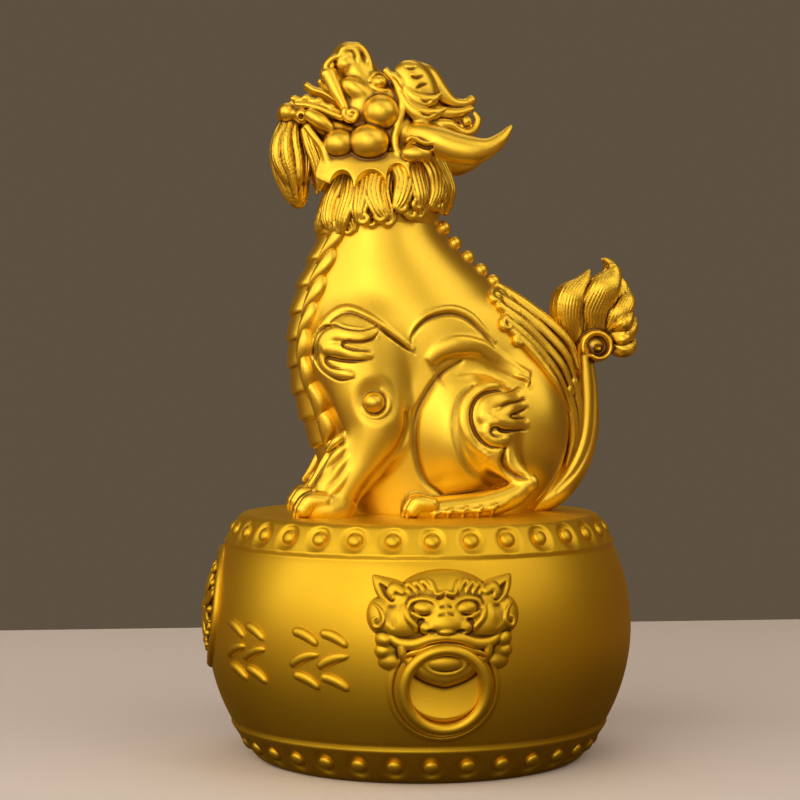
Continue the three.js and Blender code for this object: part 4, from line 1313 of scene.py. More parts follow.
def grow(name, tree, slot, seed=None, **sizes):
    """Runs a tree on a seed mesh and keeps the result as a plain mesh. sizes are its inputs."""
    base = bpy.data.objects.new(name + "_seed", seed or bpy.data.meshes.new(name + "_seed"))
    bpy.context.scene.collection.objects.link(base)
    modifier = base.modifiers.new("grow", "NODES")
    modifier.node_group = tree
    for item in tree.interface.items_tree:
        label = item.name.replace(" ", "_").lower()
        if item.in_out == "INPUT" and label in sizes:
            modifier[item.identifier] = sizes[label]
        if item.in_out == "INPUT" and item.name == "Material":
            modifier[item.identifier] = BRASS[slot]
    graph = bpy.context.evaluated_depsgraph_get()
    mesh = bpy.data.meshes.new_from_object(base.evaluated_get(graph))
    mesh.name = name
    bpy.data.objects.remove(base)
    piece = bpy.data.objects.new(name, mesh)
    bpy.context.scene.collection.objects.link(piece)
    triangles = sum(len(p.vertices) - 2 for p in mesh.polygons)
    print(f"{name}: {triangles} triangles")
    return finished(piece, slot)


def seed_points(name, points, **numbers):
    """A mesh of loose points given in mm, with named numbers on them."""
    mesh = bpy.data.meshes.new(name)
    mesh.from_pydata([tuple(c * MM for c in p) for p in points], [], [])
    for label, values in numbers.items():
        mesh.attributes.new(label, "FLOAT", "POINT").data.foreach_set("value", values)
    return mesh


print("trees ready")

# %% [markdown]
# The drum's wall is a piece of a circle turned round the middle, so its radius is one sum of the
# height. Two raised bands close it, each with a fine groove beside it, and in the bands a dish is
# pressed round every stud. A cylinder with many small faces is pushed out to that radius. Rows
# are closest near the top and the foot, where the bands are.

# %% Drum shell
STUD_HEIGHTS = (79.4, 6.2)
tree, given, add = new_tree(
    "drum_shell",
    {
        "Height": DRUM_TOP * MM,
        "Radius": DRUM_RADIUS * MM,
        "Bulge height": BULGE_HEIGHT * MM,
        "Bulge arc": BULGE_ARC * MM,
        "Band relief": BAND_RELIEF * MM,
        "Top band": TOP_BAND * MM,
        "Foot band": FOOT_BAND * MM,
        "Studs": STUD_COUNT,
        "Stud turn": STUD_TURN,
        "Dish": 4.4 * MM,
        "Dish depth": 1.1 * MM,
        "Rim": 1.5 * MM,
        "Around": 384,
        "Up": 100,
    },
)
cylinder = add(
    "GeometryNodeMeshCylinder",
    {"Vertices": given["Around"], "Side Segments": given["Up"], "Radius": 1.0, "Depth": 1.0},
    fill_type="TRIANGLE_FAN",
)
place = add("GeometryNodeInputPosition")
parts = add("ShaderNodeSeparateXYZ", {"Vector": place[0]})
height, radius, middle, arc, relief, top, foot = (
    Sum(tree, given[label])
    for label in (
        "Height", "Radius", "Bulge height", "Bulge arc", "Band relief", "Top band", "Foot band",
    )
)
# The rows of faces, from an even cylinder to heights that crowd towards both ends.
level = ((Sum(tree, parts["Z"]) + 0.5) * math.pi).work("COSINE") * -0.5 + 0.5
z = level * height
# The arc of the wall, the two bands that stand out from it, and a groove and a bead beside each.
wall = radius - arc + (arc * arc - (z - middle) * (z - middle)).work("SQRT")
wall = wall + relief * z.step(top - 0.2 * MM, top + 0.3 * MM)
wall = wall + relief * z.step(foot + 0.2 * MM, foot - 0.3 * MM)
groove = z.bell(top - 0.5 * MM, 0.45 * MM) + z.bell(foot + 0.5 * MM, 0.45 * MM)
wall = wall - groove * (0.55 * MM)
wall = wall + z.bell(top + 0.9 * MM, 0.5 * MM) * (0.2 * MM)
wall = wall + z.bell(foot - 0.9 * MM, 0.5 * MM) * (0.2 * MM)
# Both edges are rounded: the wall draws in by a quarter circle over the last stretch.
rim = Sum(tree, given["Rim"])
for over in ((z - height + rim) / rim, (rim - z) / rim):
    bend = over.work("MAXIMUM", 0.0).work("MINIMUM", 1.0)
    wall = wall - rim * ((bend * bend * -1.0 + 1.0).work("SQRT") * -1.0 + 1.0)
# How far each point is from the nearest stud, round the drum and up it.
studs, turn = Sum(tree, given["Studs"]), Sum(tree, given["Stud turn"])
angle = Sum(tree, parts["Y"]).work("ARCTAN2", Sum(tree, parts["X"]))
share = (angle - turn) * studs / (2 * math.pi)
aside = (share - share.work("ROUND")) * (2 * math.pi) / studs * wall
dish = None
for stud_height in STUD_HEIGHTS:
    up = z - stud_height * MM
    off = (up * up + aside * aside).work("SQRT") / Sum(tree, given["Dish"])
    sunk = off.step(1.04, 0.6)
    lip = off.bell(1.1, 0.12) * 0.06
    dish = (sunk - lip) if dish is None else dish + sunk - lip
wall = wall - dish * Sum(tree, given["Dish depth"])
moved = add("ShaderNodeCombineXYZ", {
    "X": Sum(tree, parts["X"]) * wall, "Y": Sum(tree, parts["Y"]) * wall, "Z": z,
})
shaped = add("GeometryNodeSetPosition", {"Geometry": cylinder["Mesh"], "Position": moved[0]})
# The dishes and grooves are stored as hollow, so the brass paints them brown: patina and painted
# shade in them.
kept = add(
    "GeometryNodeStoreNamedAttribute",
    {"Geometry": shaped[0], "Name": "hollow", "Value": (dish * 0.30 + groove * 0.34 + 0.5)},
    data_type="FLOAT",
    domain="POINT",
)
end_tree(given, add, kept[0])
drum_shell = grow("drum_shell", tree, "drum_brass")

# %% [markdown]
# The studs are low domes, one in every dish. They repeat round a circle, so they are copies set on
# the points of a ring and turned to face outwards. What sits on the wall needs the wall's radius
# at its own height, so that sum is written once more here, outside the tree.

# %% Studs
def wall_radius(z):
    """The plain wall's radius at a height, both in mm."""
    return DRUM_RADIUS - BULGE_ARC + np.sqrt(BULGE_ARC**2 - (z - BULGE_HEIGHT) ** 2)


def wall_slope(z):
    """How the wall leans at a height, in radians: above 0 where it draws in upwards."""
    return math.asin((z - BULGE_HEIGHT) / BULGE_ARC)


tree, given, add = new_tree(
    "stud_row",
    {
        "Count": STUD_COUNT, "Ring radius": 0.07, "Ring height": 0.08, "Turn": STUD_TURN,
        "Lean": 0.0, "Stud": 2.7 * MM,
    },
)
ring = add("GeometryNodeMeshCircle", {"Vertices": given["Count"], "Radius": given["Ring radius"]})
turned = add("ShaderNodeCombineXYZ", {"Z": given["Turn"]})
lifted = add("ShaderNodeCombineXYZ", {"Z": given["Ring height"]})
ring = add(
    "GeometryNodeTransform", {"Geometry": ring[0], "Translation": lifted[0], "Rotation": turned[0]},
)
dome = add("GeometryNodeMeshUVSphere", {"Segments": 20, "Rings": 10, "Radius": given["Stud"]})
dome = add("GeometryNodeTransform", {"Geometry": dome[0], "Scale": (1, 1, 0.62)})
parts = add("ShaderNodeSeparateXYZ", {"Vector": add("GeometryNodeInputPosition")[0]})
rise = Sum(tree, given["Lean"]) * Sum(tree, given["Ring radius"])
outward = add("ShaderNodeCombineXYZ", {"X": parts["X"], "Y": parts["Y"], "Z": rise})
facing = add("FunctionNodeAlignEulerToVector", {"Vector": outward[0]}, axis="Z")
copies = add(
    "GeometryNodeInstanceOnPoints", {"Points": ring[0], "Instance": dome[0], "Rotation": facing[0]},
)
end_tree(given, add, copies[0])
for name, stud_height in zip(("top_studs", "foot_studs"), STUD_HEIGHTS):
    # The dome's middle lies 1 mm under the band, in its dish.
    grow(
        name, tree, "drum_brass",
        ring_radius=(wall_radius(stud_height) + BAND_RELIEF - 1.0) * MM,
        ring_height=stud_height * MM,
        lean=math.tan(wall_slope(stud_height)),
    )

# %% [markdown]
# Beads run down the spine from the mane to the hair. All are alike, so one is made and copied to
# points. The points are drawn above the back and dropped on it by rays, so that each bead sits in
# the surface wherever the back is.

# %% Beads on the spine
SPINE = np.array(
    [(4.6, 189.4), (8.6, 184.2), (12.6, 178.9), (17.2, 173.9), (21.9, 169.3), (26.2, 165.3)],
)
above = np.column_stack([0 * SPINE[:, 0], SPINE + (9.3, 11.7)])
spot, out = body.land(above, (0, -0.62, -0.78))
seed = seed_points("spine_points", (spot + out * 0.6).tolist())
tree, given, add = new_tree("beads", {"Bead": 2.7 * MM})
bead = add("GeometryNodeMeshUVSphere", {"Segments": 24, "Rings": 16, "Radius": given["Bead"]})
points = add("GeometryNodeMeshToPoints", {"Mesh": given["Geometry"]})
copies = add("GeometryNodeInstanceOnPoints", {
    "Points": points[0], "Instance": bead[0], "Rotation": (-0.72, 0, 0),
})
end_tree(given, add, copies[0])
grow("spine_beads", tree, "beast_brass", seed)

# %% [markdown]
# Overlapping shields cover the throat and chest, each with a leaf at either side. One is modelled
# flat, as on a board: a grid of points for its face, the same grid pressed level for its back, and
# a wall between them. Numbers kept on the points say how wide each copy is.

# %% One shield
def shell(form, top, base):
    """A closed shell on a board, level below at base. top holds rows of x, height and z."""
    upper = [[form.verts.new(p) for p in row] for row in top]
    lower = [[form.verts.new((p[0], base, p[2])) for p in row] for row in top]
    last_row, last = len(top) - 1, len(top[0]) - 1
    for i, j in itertools.product(range(last_row), range(last)):
        for sheet, step in ((upper, 1), (lower, -1)):
            form.faces.new(
                [sheet[i][j], sheet[i + 1][j], sheet[i + 1][j + 1], sheet[i][j + 1]][::step],
            )
    edge = [(i, 0) for i in range(last_row)] + [(last_row, j) for j in range(last)]
    edge += [(i, last) for i in range(last_row, 0, -1)] + [(0, j) for j in range(last, 0, -1)]
    for (i, j), (k, l) in zip(edge, edge[1:] + edge[:1]):
        form.faces.new([upper[k][l], upper[i][j], lower[i][j], lower[k][l]])


def shield_mesh():
    """One shield and its two leaves on a board: x is across, z up and y how far it stands out."""
    form = bmesh.new()
    middle = []
    for u in np.linspace(-1, 1, 25):
        row = []
        for v in np.linspace(0, 1, 11):
            crown = 1 - u * u
            side = 1 - abs(u) ** 5
            drop = min(v / 0.92, 1) ** 1.3
            lip = 1 if v < 0.95 else 0.55
            out = 0.25 + (1.5 * drop + 0.5 * crown) * side * lip
            row.append((9.4 * u, out, 5.6 - 10.6 * v - 1.5 * v * crown))
        middle.append(row)
    shell(form, middle, -1.0)
    for side in (1, -1):
        leaf = []
        for v in np.linspace(0, 1, 15):
            x = 12.2 - 2.4 * v + 0.9 * math.sin(math.pi * v)
            wide = 2.4 * math.sin(math.pi * (0.06 + 0.94 * v) ** 0.8) ** 0.8 + 0.05
            row = []
            for u in np.linspace(-1, 1, 11):
                crown = math.sqrt(max(0, 1 - u * u)) * math.sin(math.pi * (0.12 + 0.86 * v)) ** 0.5
                out = 0.1 + 2.3 * crown + 0.9 * v * (1 - u * u)
                row.append((side * (x + wide * u), out, 7.4 - 14.6 * v))
            leaf.append(row)
        shell(form, leaf, -1.0)
    # Laying the board on a chest that faces -Y turns every face round, so they are turned first.
    bmesh.ops.recalc_face_normals(form, faces=form.faces)
    bmesh.ops.reverse_faces(form, faces=form.faces)
    bmesh.ops.scale(form, vec=(MM, MM, MM), verts=form.verts)
    mesh = bpy.data.meshes.new("shield")
    form.to_mesh(mesh)
    form.free()
    return mesh


shield = shield_mesh()
print("one shield:", len(shield.polygons), "faces")

# %% [markdown]
# The copies stand in a row in front of the chest, and a ray is cast back from every point of them.
# Where it lands is the point's new place, raised by the height it had on the board. So a shield
# bends with the chest, as a strip of wax pressed on to it would.

# %% Shields on the chest
SHIELDS = 10
SHIELD_WIDTHS = ([104, 112, 122, 142, 162, 173, 191], [0.88, 0.95, 1.0, 1.02, 0.98, 0.92, 0.85])
levels = np.linspace(186.5, 104.5, SHIELDS)
widths = np.interp(levels, *SHIELD_WIDTHS)
seed = seed_points("chest_points", [(0, 0, z) for z in levels], wide=widths)
tree, given, add = new_tree("chest_shields", {"Proud": 1.0, "Stand off": 90 * MM})
source = bpy.data.objects.new("shield", shield)
bpy.context.scene.collection.objects.link(source)
pattern = add("GeometryNodeObjectInfo", {"Object": source})
chest = add("GeometryNodeObjectInfo", {"Object": figure["beast_body"]})
wide = add("GeometryNodeInputNamedAttribute", {"Name": "wide"}, data_type="FLOAT")
size = add("ShaderNodeCombineXYZ", {"X": wide[0], "Y": given["Proud"], "Z": 1.0})
points = add("GeometryNodeMeshToPoints", {"Mesh": given["Geometry"]})
copies = add("GeometryNodeInstanceOnPoints", {
    "Points": points[0], "Instance": pattern["Geometry"], "Scale": size[0],
})
real = add("GeometryNodeRealizeInstances", {"Geometry": copies[0]})
parts = add("ShaderNodeSeparateXYZ", {"Vector": add("GeometryNodeInputPosition")[0]})
front = Sum(tree, given["Stand off"]) * -1.0
before = add("ShaderNodeCombineXYZ", {"X": parts["X"], "Y": front, "Z": parts["Z"]})
hit = add("GeometryNodeRaycast", {
    "Target Geometry": chest["Geometry"],
    "Source Position": before[0],
    "Ray Direction": (0, 1, 0),
    "Ray Length": 200 * MM,
})
raised = add("ShaderNodeVectorMath", {0: hit["Hit Normal"], "Scale": parts["Y"]}, operation="SCALE")
landed = add("ShaderNodeVectorMath", {0: hit["Hit Position"], 1: raised["Vector"]}, operation="ADD")
laid = add("GeometryNodeSetPosition", {"Geometry": real[0], "Position": landed["Vector"]})
end_tree(given, add, laid[0])
grow("chest_shields", tree, "beast_brass", seed)
bpy.data.objects.remove(source)

# %% [markdown]
# The lion masks that hold the rings are reliefs. Each is worked flat, as on a modeller's board:
# x is across, y is up and z stands out from the wall. Only then is it laid on the drum's curve.

# %% Lion mask: face
mask = Clay((0, 13, -2.4), (26, 73, 10), 0.27)
SIDE_ON = (0, 0, -1)


def press(clay, points, width, rise, blend=0.3, taper=(0.2, 0.2), steps=6):
    """A line drawn on a relief, seen from the front. Points are across and up."""
    rows = [[x, y, 12.0] for x, y in points]
    clay.line(rows, width, rise, blend, taper, SIDE_ON, steps)


# The plate inside the ring, sunk to a dish that tilts down, and then the head on it.
mask.ball((0, RING_HEIGHT, -2.0), (13.6, 13.6, 9.5), 0)
mask.ball((0, 39.0, 26.2), (45, 26, 26), 0.4, cut=True)
mask.ball((0, 57.0, -0.6), (17.8, 12.8, 5.2), 0.3)
mask.ball((0, 63.4, 0.2), (14.4, 7.6, 5.2), 2)
mask.ball((14.4, 55.4, 0.6), (6.6, 6.4, 4.9), 2.5)
mask.ball((20.0, 56.6, -0.2), (4.4, 6.0, 4.0), 1.6)
mask.ball((19.2, 49.4, 0.6), (2.7, 2.6, 3.4), 0.6)
mask.ball((19.8, 45.6, 0.2), (2.3, 2.4, 2.9), 0.6)
mask.ball((17.2, 42.4, -0.6), (3.9, 3.2, 3.0), 0.8)
mask.ball((16.8, 47.0, -0.6), (4.2, 4.2, 3.2), 1.2)
mask.ball((0, 47.6, 1.0), (16.5, 4.6, 3.6), 1.5)
# The eye: its socket, the ball and both lids.
mask.ball((6.8, 59.6, 6.8), (4.9, 3.3, 2.8), 1.0, cut=True)
mask.ball((6.7, 59.6, 4.0), (3.5, 2.3, 2.5), 0.3)
for rise, wide, points in (
    (1.2, 1.7, [[2.4, 58.9], [3.6, 61.6], [6.8, 62.6], [10.4, 61.6], [12.0, 59.2]]),
    (1.0, 1.5, [[2.6, 58.3], [4.8, 56.7], [7.8, 56.5], [10.8, 58.2]]),
):
    press(mask, points, wide, rise)
# The nose with its wing and nostril, and then both lips.
mask.limb(
    [
        [0, 65, 3.2, 2.4, 1.8], [0, 61, 4.2, 3.0, 2.2], [0, 57.6, 5.0, 4.0, 2.4],
        [0, 54.6, 5.4, 5.6, 2.4], [0, 52.6, 4.6, 6.0, 1.8],
    ],
    2.0,
)
mask.ball((5.9, 53.5, 4.4), (2.7, 2.2, 2.5), 0.8)
mask.ball((4.7, 52.1, 6.5), (1.8, 0.9, 1.4), 0.3, cut=True)
mask.ball((0, 52.2, 6.4), (2.4, 0.9, 1.2), 0.5)
mask.limb(
    [
        [0, 50.5, 4.6, 1.4, 1.5], [5, 49.9, 4.6, 1.6, 1.6], [9.6, 48.3, 4.0, 1.7, 1.6],
        [13.6, 48.2, 3.4, 1.7, 1.5], [16.2, 49.4, 2.8, 1.4, 1.3], [17.6, 51.2, 2.4, 0.9, 1.0],
    ],
    0.4, (0, 1, 0),
)
mask.limb(
    [
        [0, 47.6, 3.6, 1.2, 1.3], [5, 47.2, 3.6, 1.2, 1.3], [9.8, 45.6, 3.2, 1.1, 1.2],
        [12.4, 44.6, 2.8, 0.8, 0.8],
    ],
    0.3, (0, 1, 0),
)
print("mask's face worked")

# %% [markdown]
# Folds on the cheeks and locks on the forehead are pressed lines. The ears are cups, the ring hangs
# from a fang, and below the lips lie the chin and the flange that the ring rests on.

# %% Lion mask: folds, ears, fang and flange
press(mask, [[6.9, 56.4], [8.5, 54.2], [8.6, 51.8]], 1.6, -0.5, 0.5)
press(mask, [[12.8, 60.4], [12.0, 56.6], [10.0, 54.2], [8.6, 52.2]], 1.9, 1.0, 0.5)
press(mask, [[16.0, 61.0], [17.4, 57.6], [16.6, 53.6]], 2.4, -0.4, 1.0)
press(
    mask,
    [
        [22.2, 60.6], [20.2, 58.6], [19.4, 55.8], [20.6, 53.6], [22.2, 53.8], [22.4, 55.6],
        [21.2, 56.6],
    ],
    1.3, 0.9,
)
for x in (5.4, 7.6, 9.8, 12.0):
    lift = 0.24 * (x - 5.4)
    lock = [
        [x - 0.8, 64.4 - lift * 0.7], [x - 0.2, 66.4 - lift], [x + 1.4, 67.6 - lift],
        [x + 2.4, 66.8 - lift],
    ]
    press(mask, lock, 1.5, 0.8)
press(mask, [[0, 65.0], [1.5, 64.0], [2.9, 63.9], [3.7, 65.4], [4.3, 67.2], [5.8, 68.4]], 1.3, 0.8)
press(mask, [[0, 63.6], [1.5, 62.6], [3.0, 62.4]], 0.9, -0.6)
press(mask, [[0, 60.4], [2.2, 59.8]], 1.2, -0.4)
press(mask, [[0, 58.0], [2.8, 57.4]], 1.2, -0.4)
mask.limb(
    [
        [13.2, 61.6, 1.4, 4.6, 2.6], [16.2, 63.6, 1.2, 4.6, 2.5], [18.8, 65.6, 0.9, 3.4, 2.1],
        [20.8, 67.6, 0.6, 1.7, 1.3], [21.8, 68.7, 0.4, 0.5, 0.6],
    ],
    0.4, (0.7, -0.7, 0),
)
mask.limb(
    [[17.0, 62.4, 4.6, 1.6, 2.2], [18.8, 64.4, 3.8, 1.7, 2.0], [20.2, 66.4, 2.9, 0.7, 1.2]], 0.3,
    (0.7, -0.7, 0), cut=True,
)
mask.limb(
    [
        [13.6, 64.4, 3.2, 1.4, 1.5], [15.6, 65.6, 3.2, 1.6, 1.5], [16.8, 64.2, 3.0, 1.5, 1.4],
        [16.2, 62.6, 3.0, 1.0, 1.0],
    ],
    0.3, (0, 1, 0),
)
mask.limb(
    [[13.7, 47.0, 3.4, 1.6, 1.5], [13.7, 44.8, 3.4, 1.2, 1.3], [13.5, 42.4, 2.6, 0.4, 0.4]], 0.2,
)
mask.ball((0, 45.3, -0.4), (14.6, 8.7, 3.6), 0.3)
mask.ball((0, 42.0, 1.8), (9.2, 5.4, 2.9), 0.3)
mask.ball((0, 42.0, 4.9), (8.0, 4.1, 1.6), 0.3, cut=True)
mask.ball((0, 42.0, 2.2), (6.8, 3.0, 2.6), 0.2)
mask.limb(
    [
        [0, 37.8, 1.2, 3.6, 2.4], [5, 39.0, 1.2, 3.2, 2.4], [9.4, 41.4, 1.0, 2.8, 2.2],
        [12.4, 43.4, 0.8, 2.4, 2.0],
    ],
    0.2, (0, 1, 0),
)
around = np.radians(np.linspace(0, 150, 31))
for reach, out, wide, cut in ((16.9, 0.2, 1.4, False), (15.2, 1.1, 1.2, True)):
    flange = [
        [reach * math.sin(a), RING_HEIGHT - reach * math.cos(a), out, wide, wide] for a in around
    ]
    mask.limb(flange, 0.4, steps=1, cut=cut)
mask.ball((0, RING_HEIGHT, -1.9), (17.4, 17.4, 2.3), 0.3)
print("mask worked")

# %% [markdown]
# Laying the relief on the wall. The board's own x and y stay level and upright, and the third way
# goes straight out to the drum's curve, so the mask keeps its front view. Both sides carry one.

# %% Masks on the wall
# The wall stands out by part of what was worked on the board, which reads right at this size.
RELIEF_SHARE = 0.78


def on_wall(side):
    """Lays a relief on the wall at the side, across being level."""

    def place(spots):
        across, up, out = spots.T
        out = np.where(out > 0, out * RELIEF_SHARE, out)
        deep = np.sqrt(wall_radius(np.clip(up, 2, DRUM_TOP - 2.4)) ** 2 - across**2)
        return np.column_stack([side * (deep + out), side * across, up])

    return place


for name, side in (("lion_mask_right", 1), ("lion_mask_left", -1)):
    mask.skin(name, "drum_brass", 75_000, on_wall(side))

# %% [markdown]
# The rings in the lions' mouths look like round wire bent to a circle, so a circle is swept along a
# circle. They are cast on, and lean as the wall does, so they are sunk in the flange a little.

# %% Rings
tree, given, add = new_tree(
    "lion_rings",
    {
        "Ring": RING_RADIUS * MM,
        "Wire": RING_WIRE * MM,
        "Out": 70 * MM,
        "Height": RING_HEIGHT * MM,
        "Lean": 0.0,
    },
)
circle = add("GeometryNodeCurvePrimitiveCircle", {"Resolution": 96, "Radius": given["Ring"]})
wire = add("GeometryNodeCurvePrimitiveCircle", {"Resolution": 24, "Radius": given["Wire"]})
hoop = add("GeometryNodeCurveToMesh", {"Curve": circle["Curve"], "Profile Curve": wire["Curve"]})
tilt = add("ShaderNodeCombineXYZ", {"Y": Sum(tree, given["Lean"]) + math.pi / 2})
spot = add("ShaderNodeCombineXYZ", {"X": given["Out"], "Z": given["Height"]})
right = add(
    "GeometryNodeTransform", {"Geometry": hoop[0], "Rotation": tilt[0], "Translation": spot[0]},
)
left = add("GeometryNodeTransform", {"Geometry": right[0], "Rotation": (0, 0, math.pi)})
both = add("GeometryNodeJoinGeometry", {"Geometry": right[0]})
# One socket of the join takes any number of links.
tree.links.new(left[0], tree.nodes["Join Geometry"].inputs[0])
end_tree(given, add, both[0])
ring_out = float(wall_radius(RING_HEIGHT)) + 2.9
grow("lion_rings", tree, "drum_brass", out=ring_out * MM, lean=-wall_slope(RING_HEIGHT))

# %% [markdown]
# The medallion on the front is a relief too: a double rim, a flower, scrolls at its tips and pearls
# between them. The photograph sees only its edge, so its field is a common pattern of the kind.

# %% Medallion
PETALS = 8
medal = Clay((0, -22.5, -2), (22.5, 22.5, 5), 0.34)
medal.ball((0, 0, -1.4), (19.6, 19.6, 1.9), 0)
# An outer rim and a thinner one inside it: radius, height, half width, thickness and blend.
for reach, out, half, deep, blend in ((20.1, 0.2, 1.35, 1.25, 0.4), (17.4, 0.1, 0.6, 0.7, 0.3)):
    around = np.linspace(0, math.pi, 49)
    rim = [[reach * math.sin(a), -reach * math.cos(a), out, half, deep] for a in around]
    medal.limb(rim, blend, steps=1)
# One petal: radius, height and half width, from its foot to its tip.
PETAL = [(3, 0.9, 0.8), (6.5, 1.0, 2.3), (9.6, 0.9, 2.7), (12.6, 0.5, 1.2), (13.8, 0.3, 0.4)]
for k in range(PETALS):
    a = math.radians(22.5 + 45 * k)
    u, v = math.sin(a), -math.cos(a)
    # Only the worked half is filled: the other is its mirror.
    if u < -0.1:
        continue
    medal.limb([[u * r, v * r, h, w, 0.9] for r, h, w in PETAL], 0.3, (v, -u, 0), comb=(3, 0.3))
    curl = coil((u * 14.6, v * 14.6), 1.8, 0.5, 1.2, math.degrees(a), 12)
    medal.limb([[x, y, 0.7, 0.6, 0.7] for x, y in curl], 0.2, steps=2)
for k in range(PETALS):
    a = math.radians(45 * k)
    u, v = math.sin(a), -math.cos(a)
    if u < -0.1:
        continue
    medal.ball((12.2 * u, 12.2 * v, 0.4), (1.3, 1.3, 1.3), 0.2)
medal.ball((0, 0, 0.6), (3.2, 3.2, 1.7), 0.2)


def on_front(spots):
    """Lays a relief round the front of the drum, at the medallion's height."""
    across, up, out = spots.T
    z = up + MEDALLION_HEIGHT
    a = across / DRUM_RADIUS
    reach = wall_radius(z) + out
    return np.column_stack([reach * np.sin(a), -reach * np.cos(a), z])


medal.skin("medallion", "drum_brass", 40_000, on_front)

# %% [markdown]
# Beside the medallion the wall carries blocks of raised, slanting brush marks. One mark is swept
# along a short bowed path, swelling as a brush does, and copied to every place. Numbers kept on
# the points say how each copy is turned, leant, slanted and stretched.

# %% Strokes
STROKE_BLOCKS = [math.radians(a) for a in (-32, -57, -123, -148)]
STROKE_HEIGHT = 41.2
STROKE = 8.4
# Each mark in a block: across, up, its length and its slant in radians.
MARKS = [
    [-5, 7, 8.4, 1.15],
    [5.4, 7, 8.4, 1.15],
    [-5.2, 0, 9.4, 1.95],
    [5.2, 0, 9.4, 1.95],
    [-5, -7, 8.4, 1.15],
    [5.4, -7, 8.4, 1.15],
]
spots, turns, slants, lengths, leans = [], [], [], [], []
for base in STROKE_BLOCKS:
    for across, up, length, slant in MARKS:
        z = STROKE_HEIGHT + up
        a = base + across / DRUM_RADIUS
        reach = float(wall_radius(z)) - 0.2
        spots.append([reach * math.cos(a), reach * math.sin(a), z])
        turns.append(a)
        slants.append(slant)
        lengths.append(length / STROKE)
        leans.append(-wall_slope(z))
tree, given, add = new_tree("strokes", {"Width": 2.1 * MM, "Length": 5.2 * MM})
length = Sum(tree, given["Length"])
bow = {}
for label, y, z in (
    ("Start", 0.0, -1.0),
    ("Start Handle", 0.3, -0.4),
    ("End Handle", 0.3, 0.5),
    ("End", -0.05, 1.0),
):
    bow[label] = add("ShaderNodeCombineXYZ", {"Y": length * y, "Z": length * z})[0]
path = add("GeometryNodeCurvePrimitiveBezierSegment", {"Resolution": 14, **bow})
path = add("GeometryNodeResampleCurve", {"Curve": path[0], "Count": 15})
share = Sum(tree, add("GeometryNodeSplineParameter")["Factor"])
swell = (share * math.pi).work("SINE").work("MAXIMUM", 0.0).work("POWER", 0.35)
swell = swell * 0.72 + share * 0.16 + 0.12
round_brush = add("GeometryNodeCurvePrimitiveCircle", {"Resolution": 16, "Radius": given["Width"]})
mark = add("GeometryNodeCurveToMesh", {
    "Curve": path[0], "Profile Curve": round_brush["Curve"], "Fill Caps": True, "Scale": swell,
})
numbers = {
    label: add("GeometryNodeInputNamedAttribute", {"Name": label}, data_type="FLOAT")[0]
    for label in ("turn", "slant", "long", "lean")
}
points = add("GeometryNodeMeshToPoints", {"Mesh": given["Geometry"]})
faced = add("ShaderNodeCombineXYZ", {"Y": numbers["lean"], "Z": numbers["turn"]})
slanted = add("ShaderNodeCombineXYZ", {"X": numbers["slant"]})
rotation = add(
    "FunctionNodeRotateEuler", {"Rotation": faced[0], "Rotate By": slanted[0]}, space="LOCAL",
)
size = add("ShaderNodeCombineXYZ", {"X": 0.85, "Y": 1.0, "Z": numbers["long"]})
copies = add("GeometryNodeInstanceOnPoints", {
    "Points": points[0], "Instance": mark[0], "Rotation": rotation[0], "Scale": size[0],
})
end_tree(given, add, copies[0])
seed = seed_points("stroke_points", spots, turn=turns, slant=slants, long=lengths, lean=leans)
grow("relief_strokes", tree, "drum_brass", seed)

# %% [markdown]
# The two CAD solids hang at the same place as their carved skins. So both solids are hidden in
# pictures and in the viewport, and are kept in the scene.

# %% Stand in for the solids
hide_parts("beast")
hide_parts("drum")
print("the solids are replaced")

# %% [markdown]
# The floor and the room. Brass shows what it mirrors, so its form reads only where light and dark
# both reach it. The floor is pale to the camera. What the brass mirrors of it is painted brown,
# with a painted shadow that darkens it near the drum. The room is dim and warm in the light and in
# what the brass mirrors, and a warm grey to the camera.

# %% Floor and room
floor_mesh = bpy.data.meshes.new("floor")
form = bmesh.new()
bmesh.ops.create_grid(form, x_segments=1, y_segments=1, size=1.2)
bmesh.ops.translate(form, vec=(0.85, 0, 0), verts=form.verts)
form.to_mesh(floor_mesh)
floor = bpy.data.objects.new("floor", floor_mesh)
bpy.context.scene.collection.objects.link(floor)
pale = bpy.data.materials.new("pale_floor")
pale.use_nodes = True
nodes, links = pale.node_tree.nodes, pale.node_tree.links
coat = nodes["Principled BSDF"]
coat.inputs["Roughness"].default_value = 0.6
here = nodes.new("ShaderNodeTexCoord")
away = nodes.new("ShaderNodeVectorMath")
away.operation = "LENGTH"
links.new(here.outputs["Object"], away.inputs[0])
# Painted shadow: in the brass's reflections the floor is dark near the drum and turns lighter brown
# further off.
shade = nodes.new("ShaderNodeMapRange")
shade.inputs["From Min"].default_value = 0.16
shade.inputs["From Max"].default_value = 0.34
links.new(away.outputs["Value"], shade.inputs["Value"])
painted_floor_reflection = nodes.new("ShaderNodeMix")
painted_floor_reflection.data_type = "RGBA"
painted_floor_reflection.inputs["A"].default_value = (0.07, 0.038, 0.018, 1)
painted_floor_reflection.inputs["B"].default_value = (0.38, 0.23, 0.12, 1)
links.new(shade.outputs["Result"], painted_floor_reflection.inputs["Factor"])
# Only glossy rays see this painted reflection colour; all other rays see the pale floor.
mirrored = nodes.new("ShaderNodeMix")
mirrored.data_type = "RGBA"
mirrored.inputs["A"].default_value = (0.90, 0.86, 1.0, 1)
links.new(painted_floor_reflection.outputs["Result"], mirrored.inputs["B"])
links.new(nodes.new("ShaderNodeLightPath").outputs["Is Glossy Ray"], mirrored.inputs["Factor"])
links.new(mirrored.outputs["Result"], coat.inputs["Base Color"])
floor_mesh.materials.append(pale)

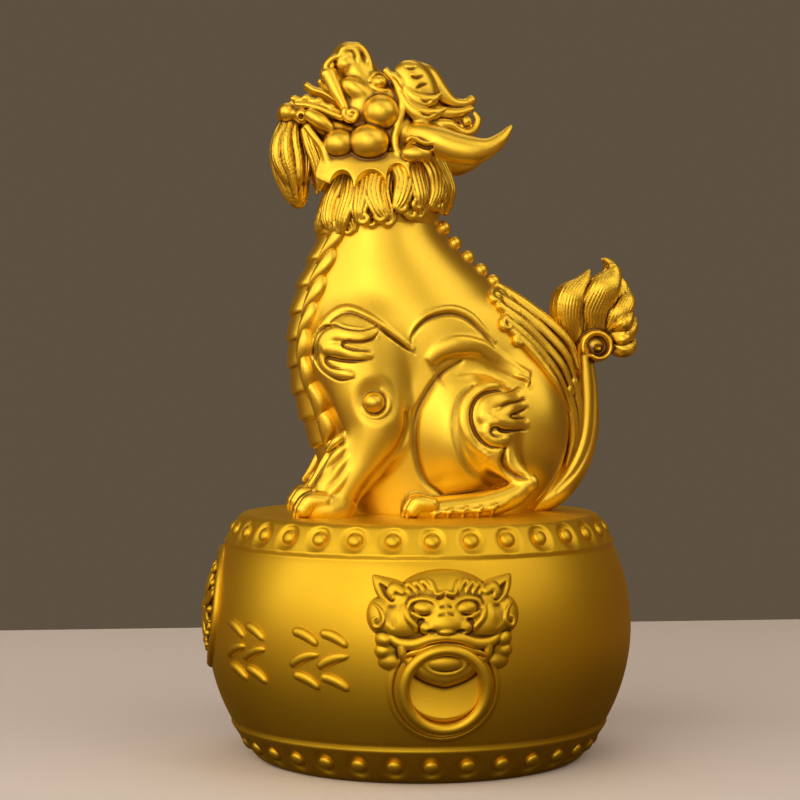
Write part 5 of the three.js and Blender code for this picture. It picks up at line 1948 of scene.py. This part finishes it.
world = bpy.data.worlds.new("studio")
world.use_nodes = True
nodes, links = world.node_tree.nodes, world.node_tree.links
room = nodes.new("ShaderNodeMix")
room.data_type = "RGBA"
room.inputs["A"].default_value = (0.14, 0.075, 0.03, 1)
room.inputs["B"].default_value = (0.109, 0.081, 0.052, 1)
links.new(nodes.new("ShaderNodeLightPath").outputs["Is Camera Ray"], room.inputs["Factor"])
links.new(room.outputs["Result"], nodes["Background"].inputs["Color"])
bpy.context.scene.world = world
print("floor and room ready")

# %% [markdown]
# Lights and camera. Five soft boxes stand round the figure, with dark gaps between them that draw
# its edges. The camera was fitted to the drum's rims and studs in the photograph: it is level with
# the belly, a little towards the front, and its lens is shifted, which keeps the drum upright.

# %% Lights and camera
# The camera's turn towards the front in degrees, its distance and height in metres. REACH is how
# many pixels a metre covers at one metre, in a picture that is PIXELS across.
CAMERA_TURN = 6.3
AWAY = 0.72
EYE = 0.1358
REACH = 2050
PIXELS = 800


def soft_light(name, turn, rise, away, size, glow, tint=(1, 0.92, 0.68)):
    """A soft box, turn degrees right of the camera and rise degrees up, that glows evenly."""
    a = math.radians(turn - CAMERA_TURN)
    up = math.radians(rise)
    spot = Vector((math.cos(a) * math.cos(up), math.sin(a) * math.cos(up), math.sin(up))) * away
    lamp = bpy.data.lights.new(name, "AREA")
    lamp.shape = "RECTANGLE"
    lamp.size, lamp.size_y = size
    lamp.energy = glow * math.pi * size[0] * size[1]
    lamp.color = tint
    thing = bpy.data.objects.new(name, lamp)
    thing.location = spot + Vector((0, 0, 0.12))
    thing.rotation_euler = (-spot).to_track_quat("-Z", "Y").to_euler()
    bpy.context.scene.collection.objects.link(thing)


soft_light("key", -52, 25, 1.2, (1.8, 1.1), 1.45)
soft_light("front", -2, 8, 1.2, (1.1, 1.1), 1.4)
soft_light("right", 58, 36, 1.1, (0.9, 0.9), 1.15)
soft_light("crown", 0, 62, 1.2, (1.6, 0.5), 0.8)
soft_light("top", 180, 68, 1.1, (0.7, 0.6), 1.0)

yaw = math.radians(CAMERA_TURN)
lens = bpy.data.cameras.new("camera")
lens.sensor_width = 36
lens.lens = 36 * REACH / PIXELS
lens.shift_x = -19 / PIXELS
lens.shift_y = -35 / PIXELS
camera = bpy.data.objects.new("camera", lens)
camera.location = (AWAY * math.cos(yaw), -AWAY * math.sin(yaw), EYE)
camera.rotation_euler = (math.radians(90), 0, math.radians(90) - yaw)
bpy.context.scene.collection.objects.link(camera)
bpy.context.scene.camera = camera
bpy.context.scene.view_settings.view_transform = "Standard"
print("lights and camera ready")
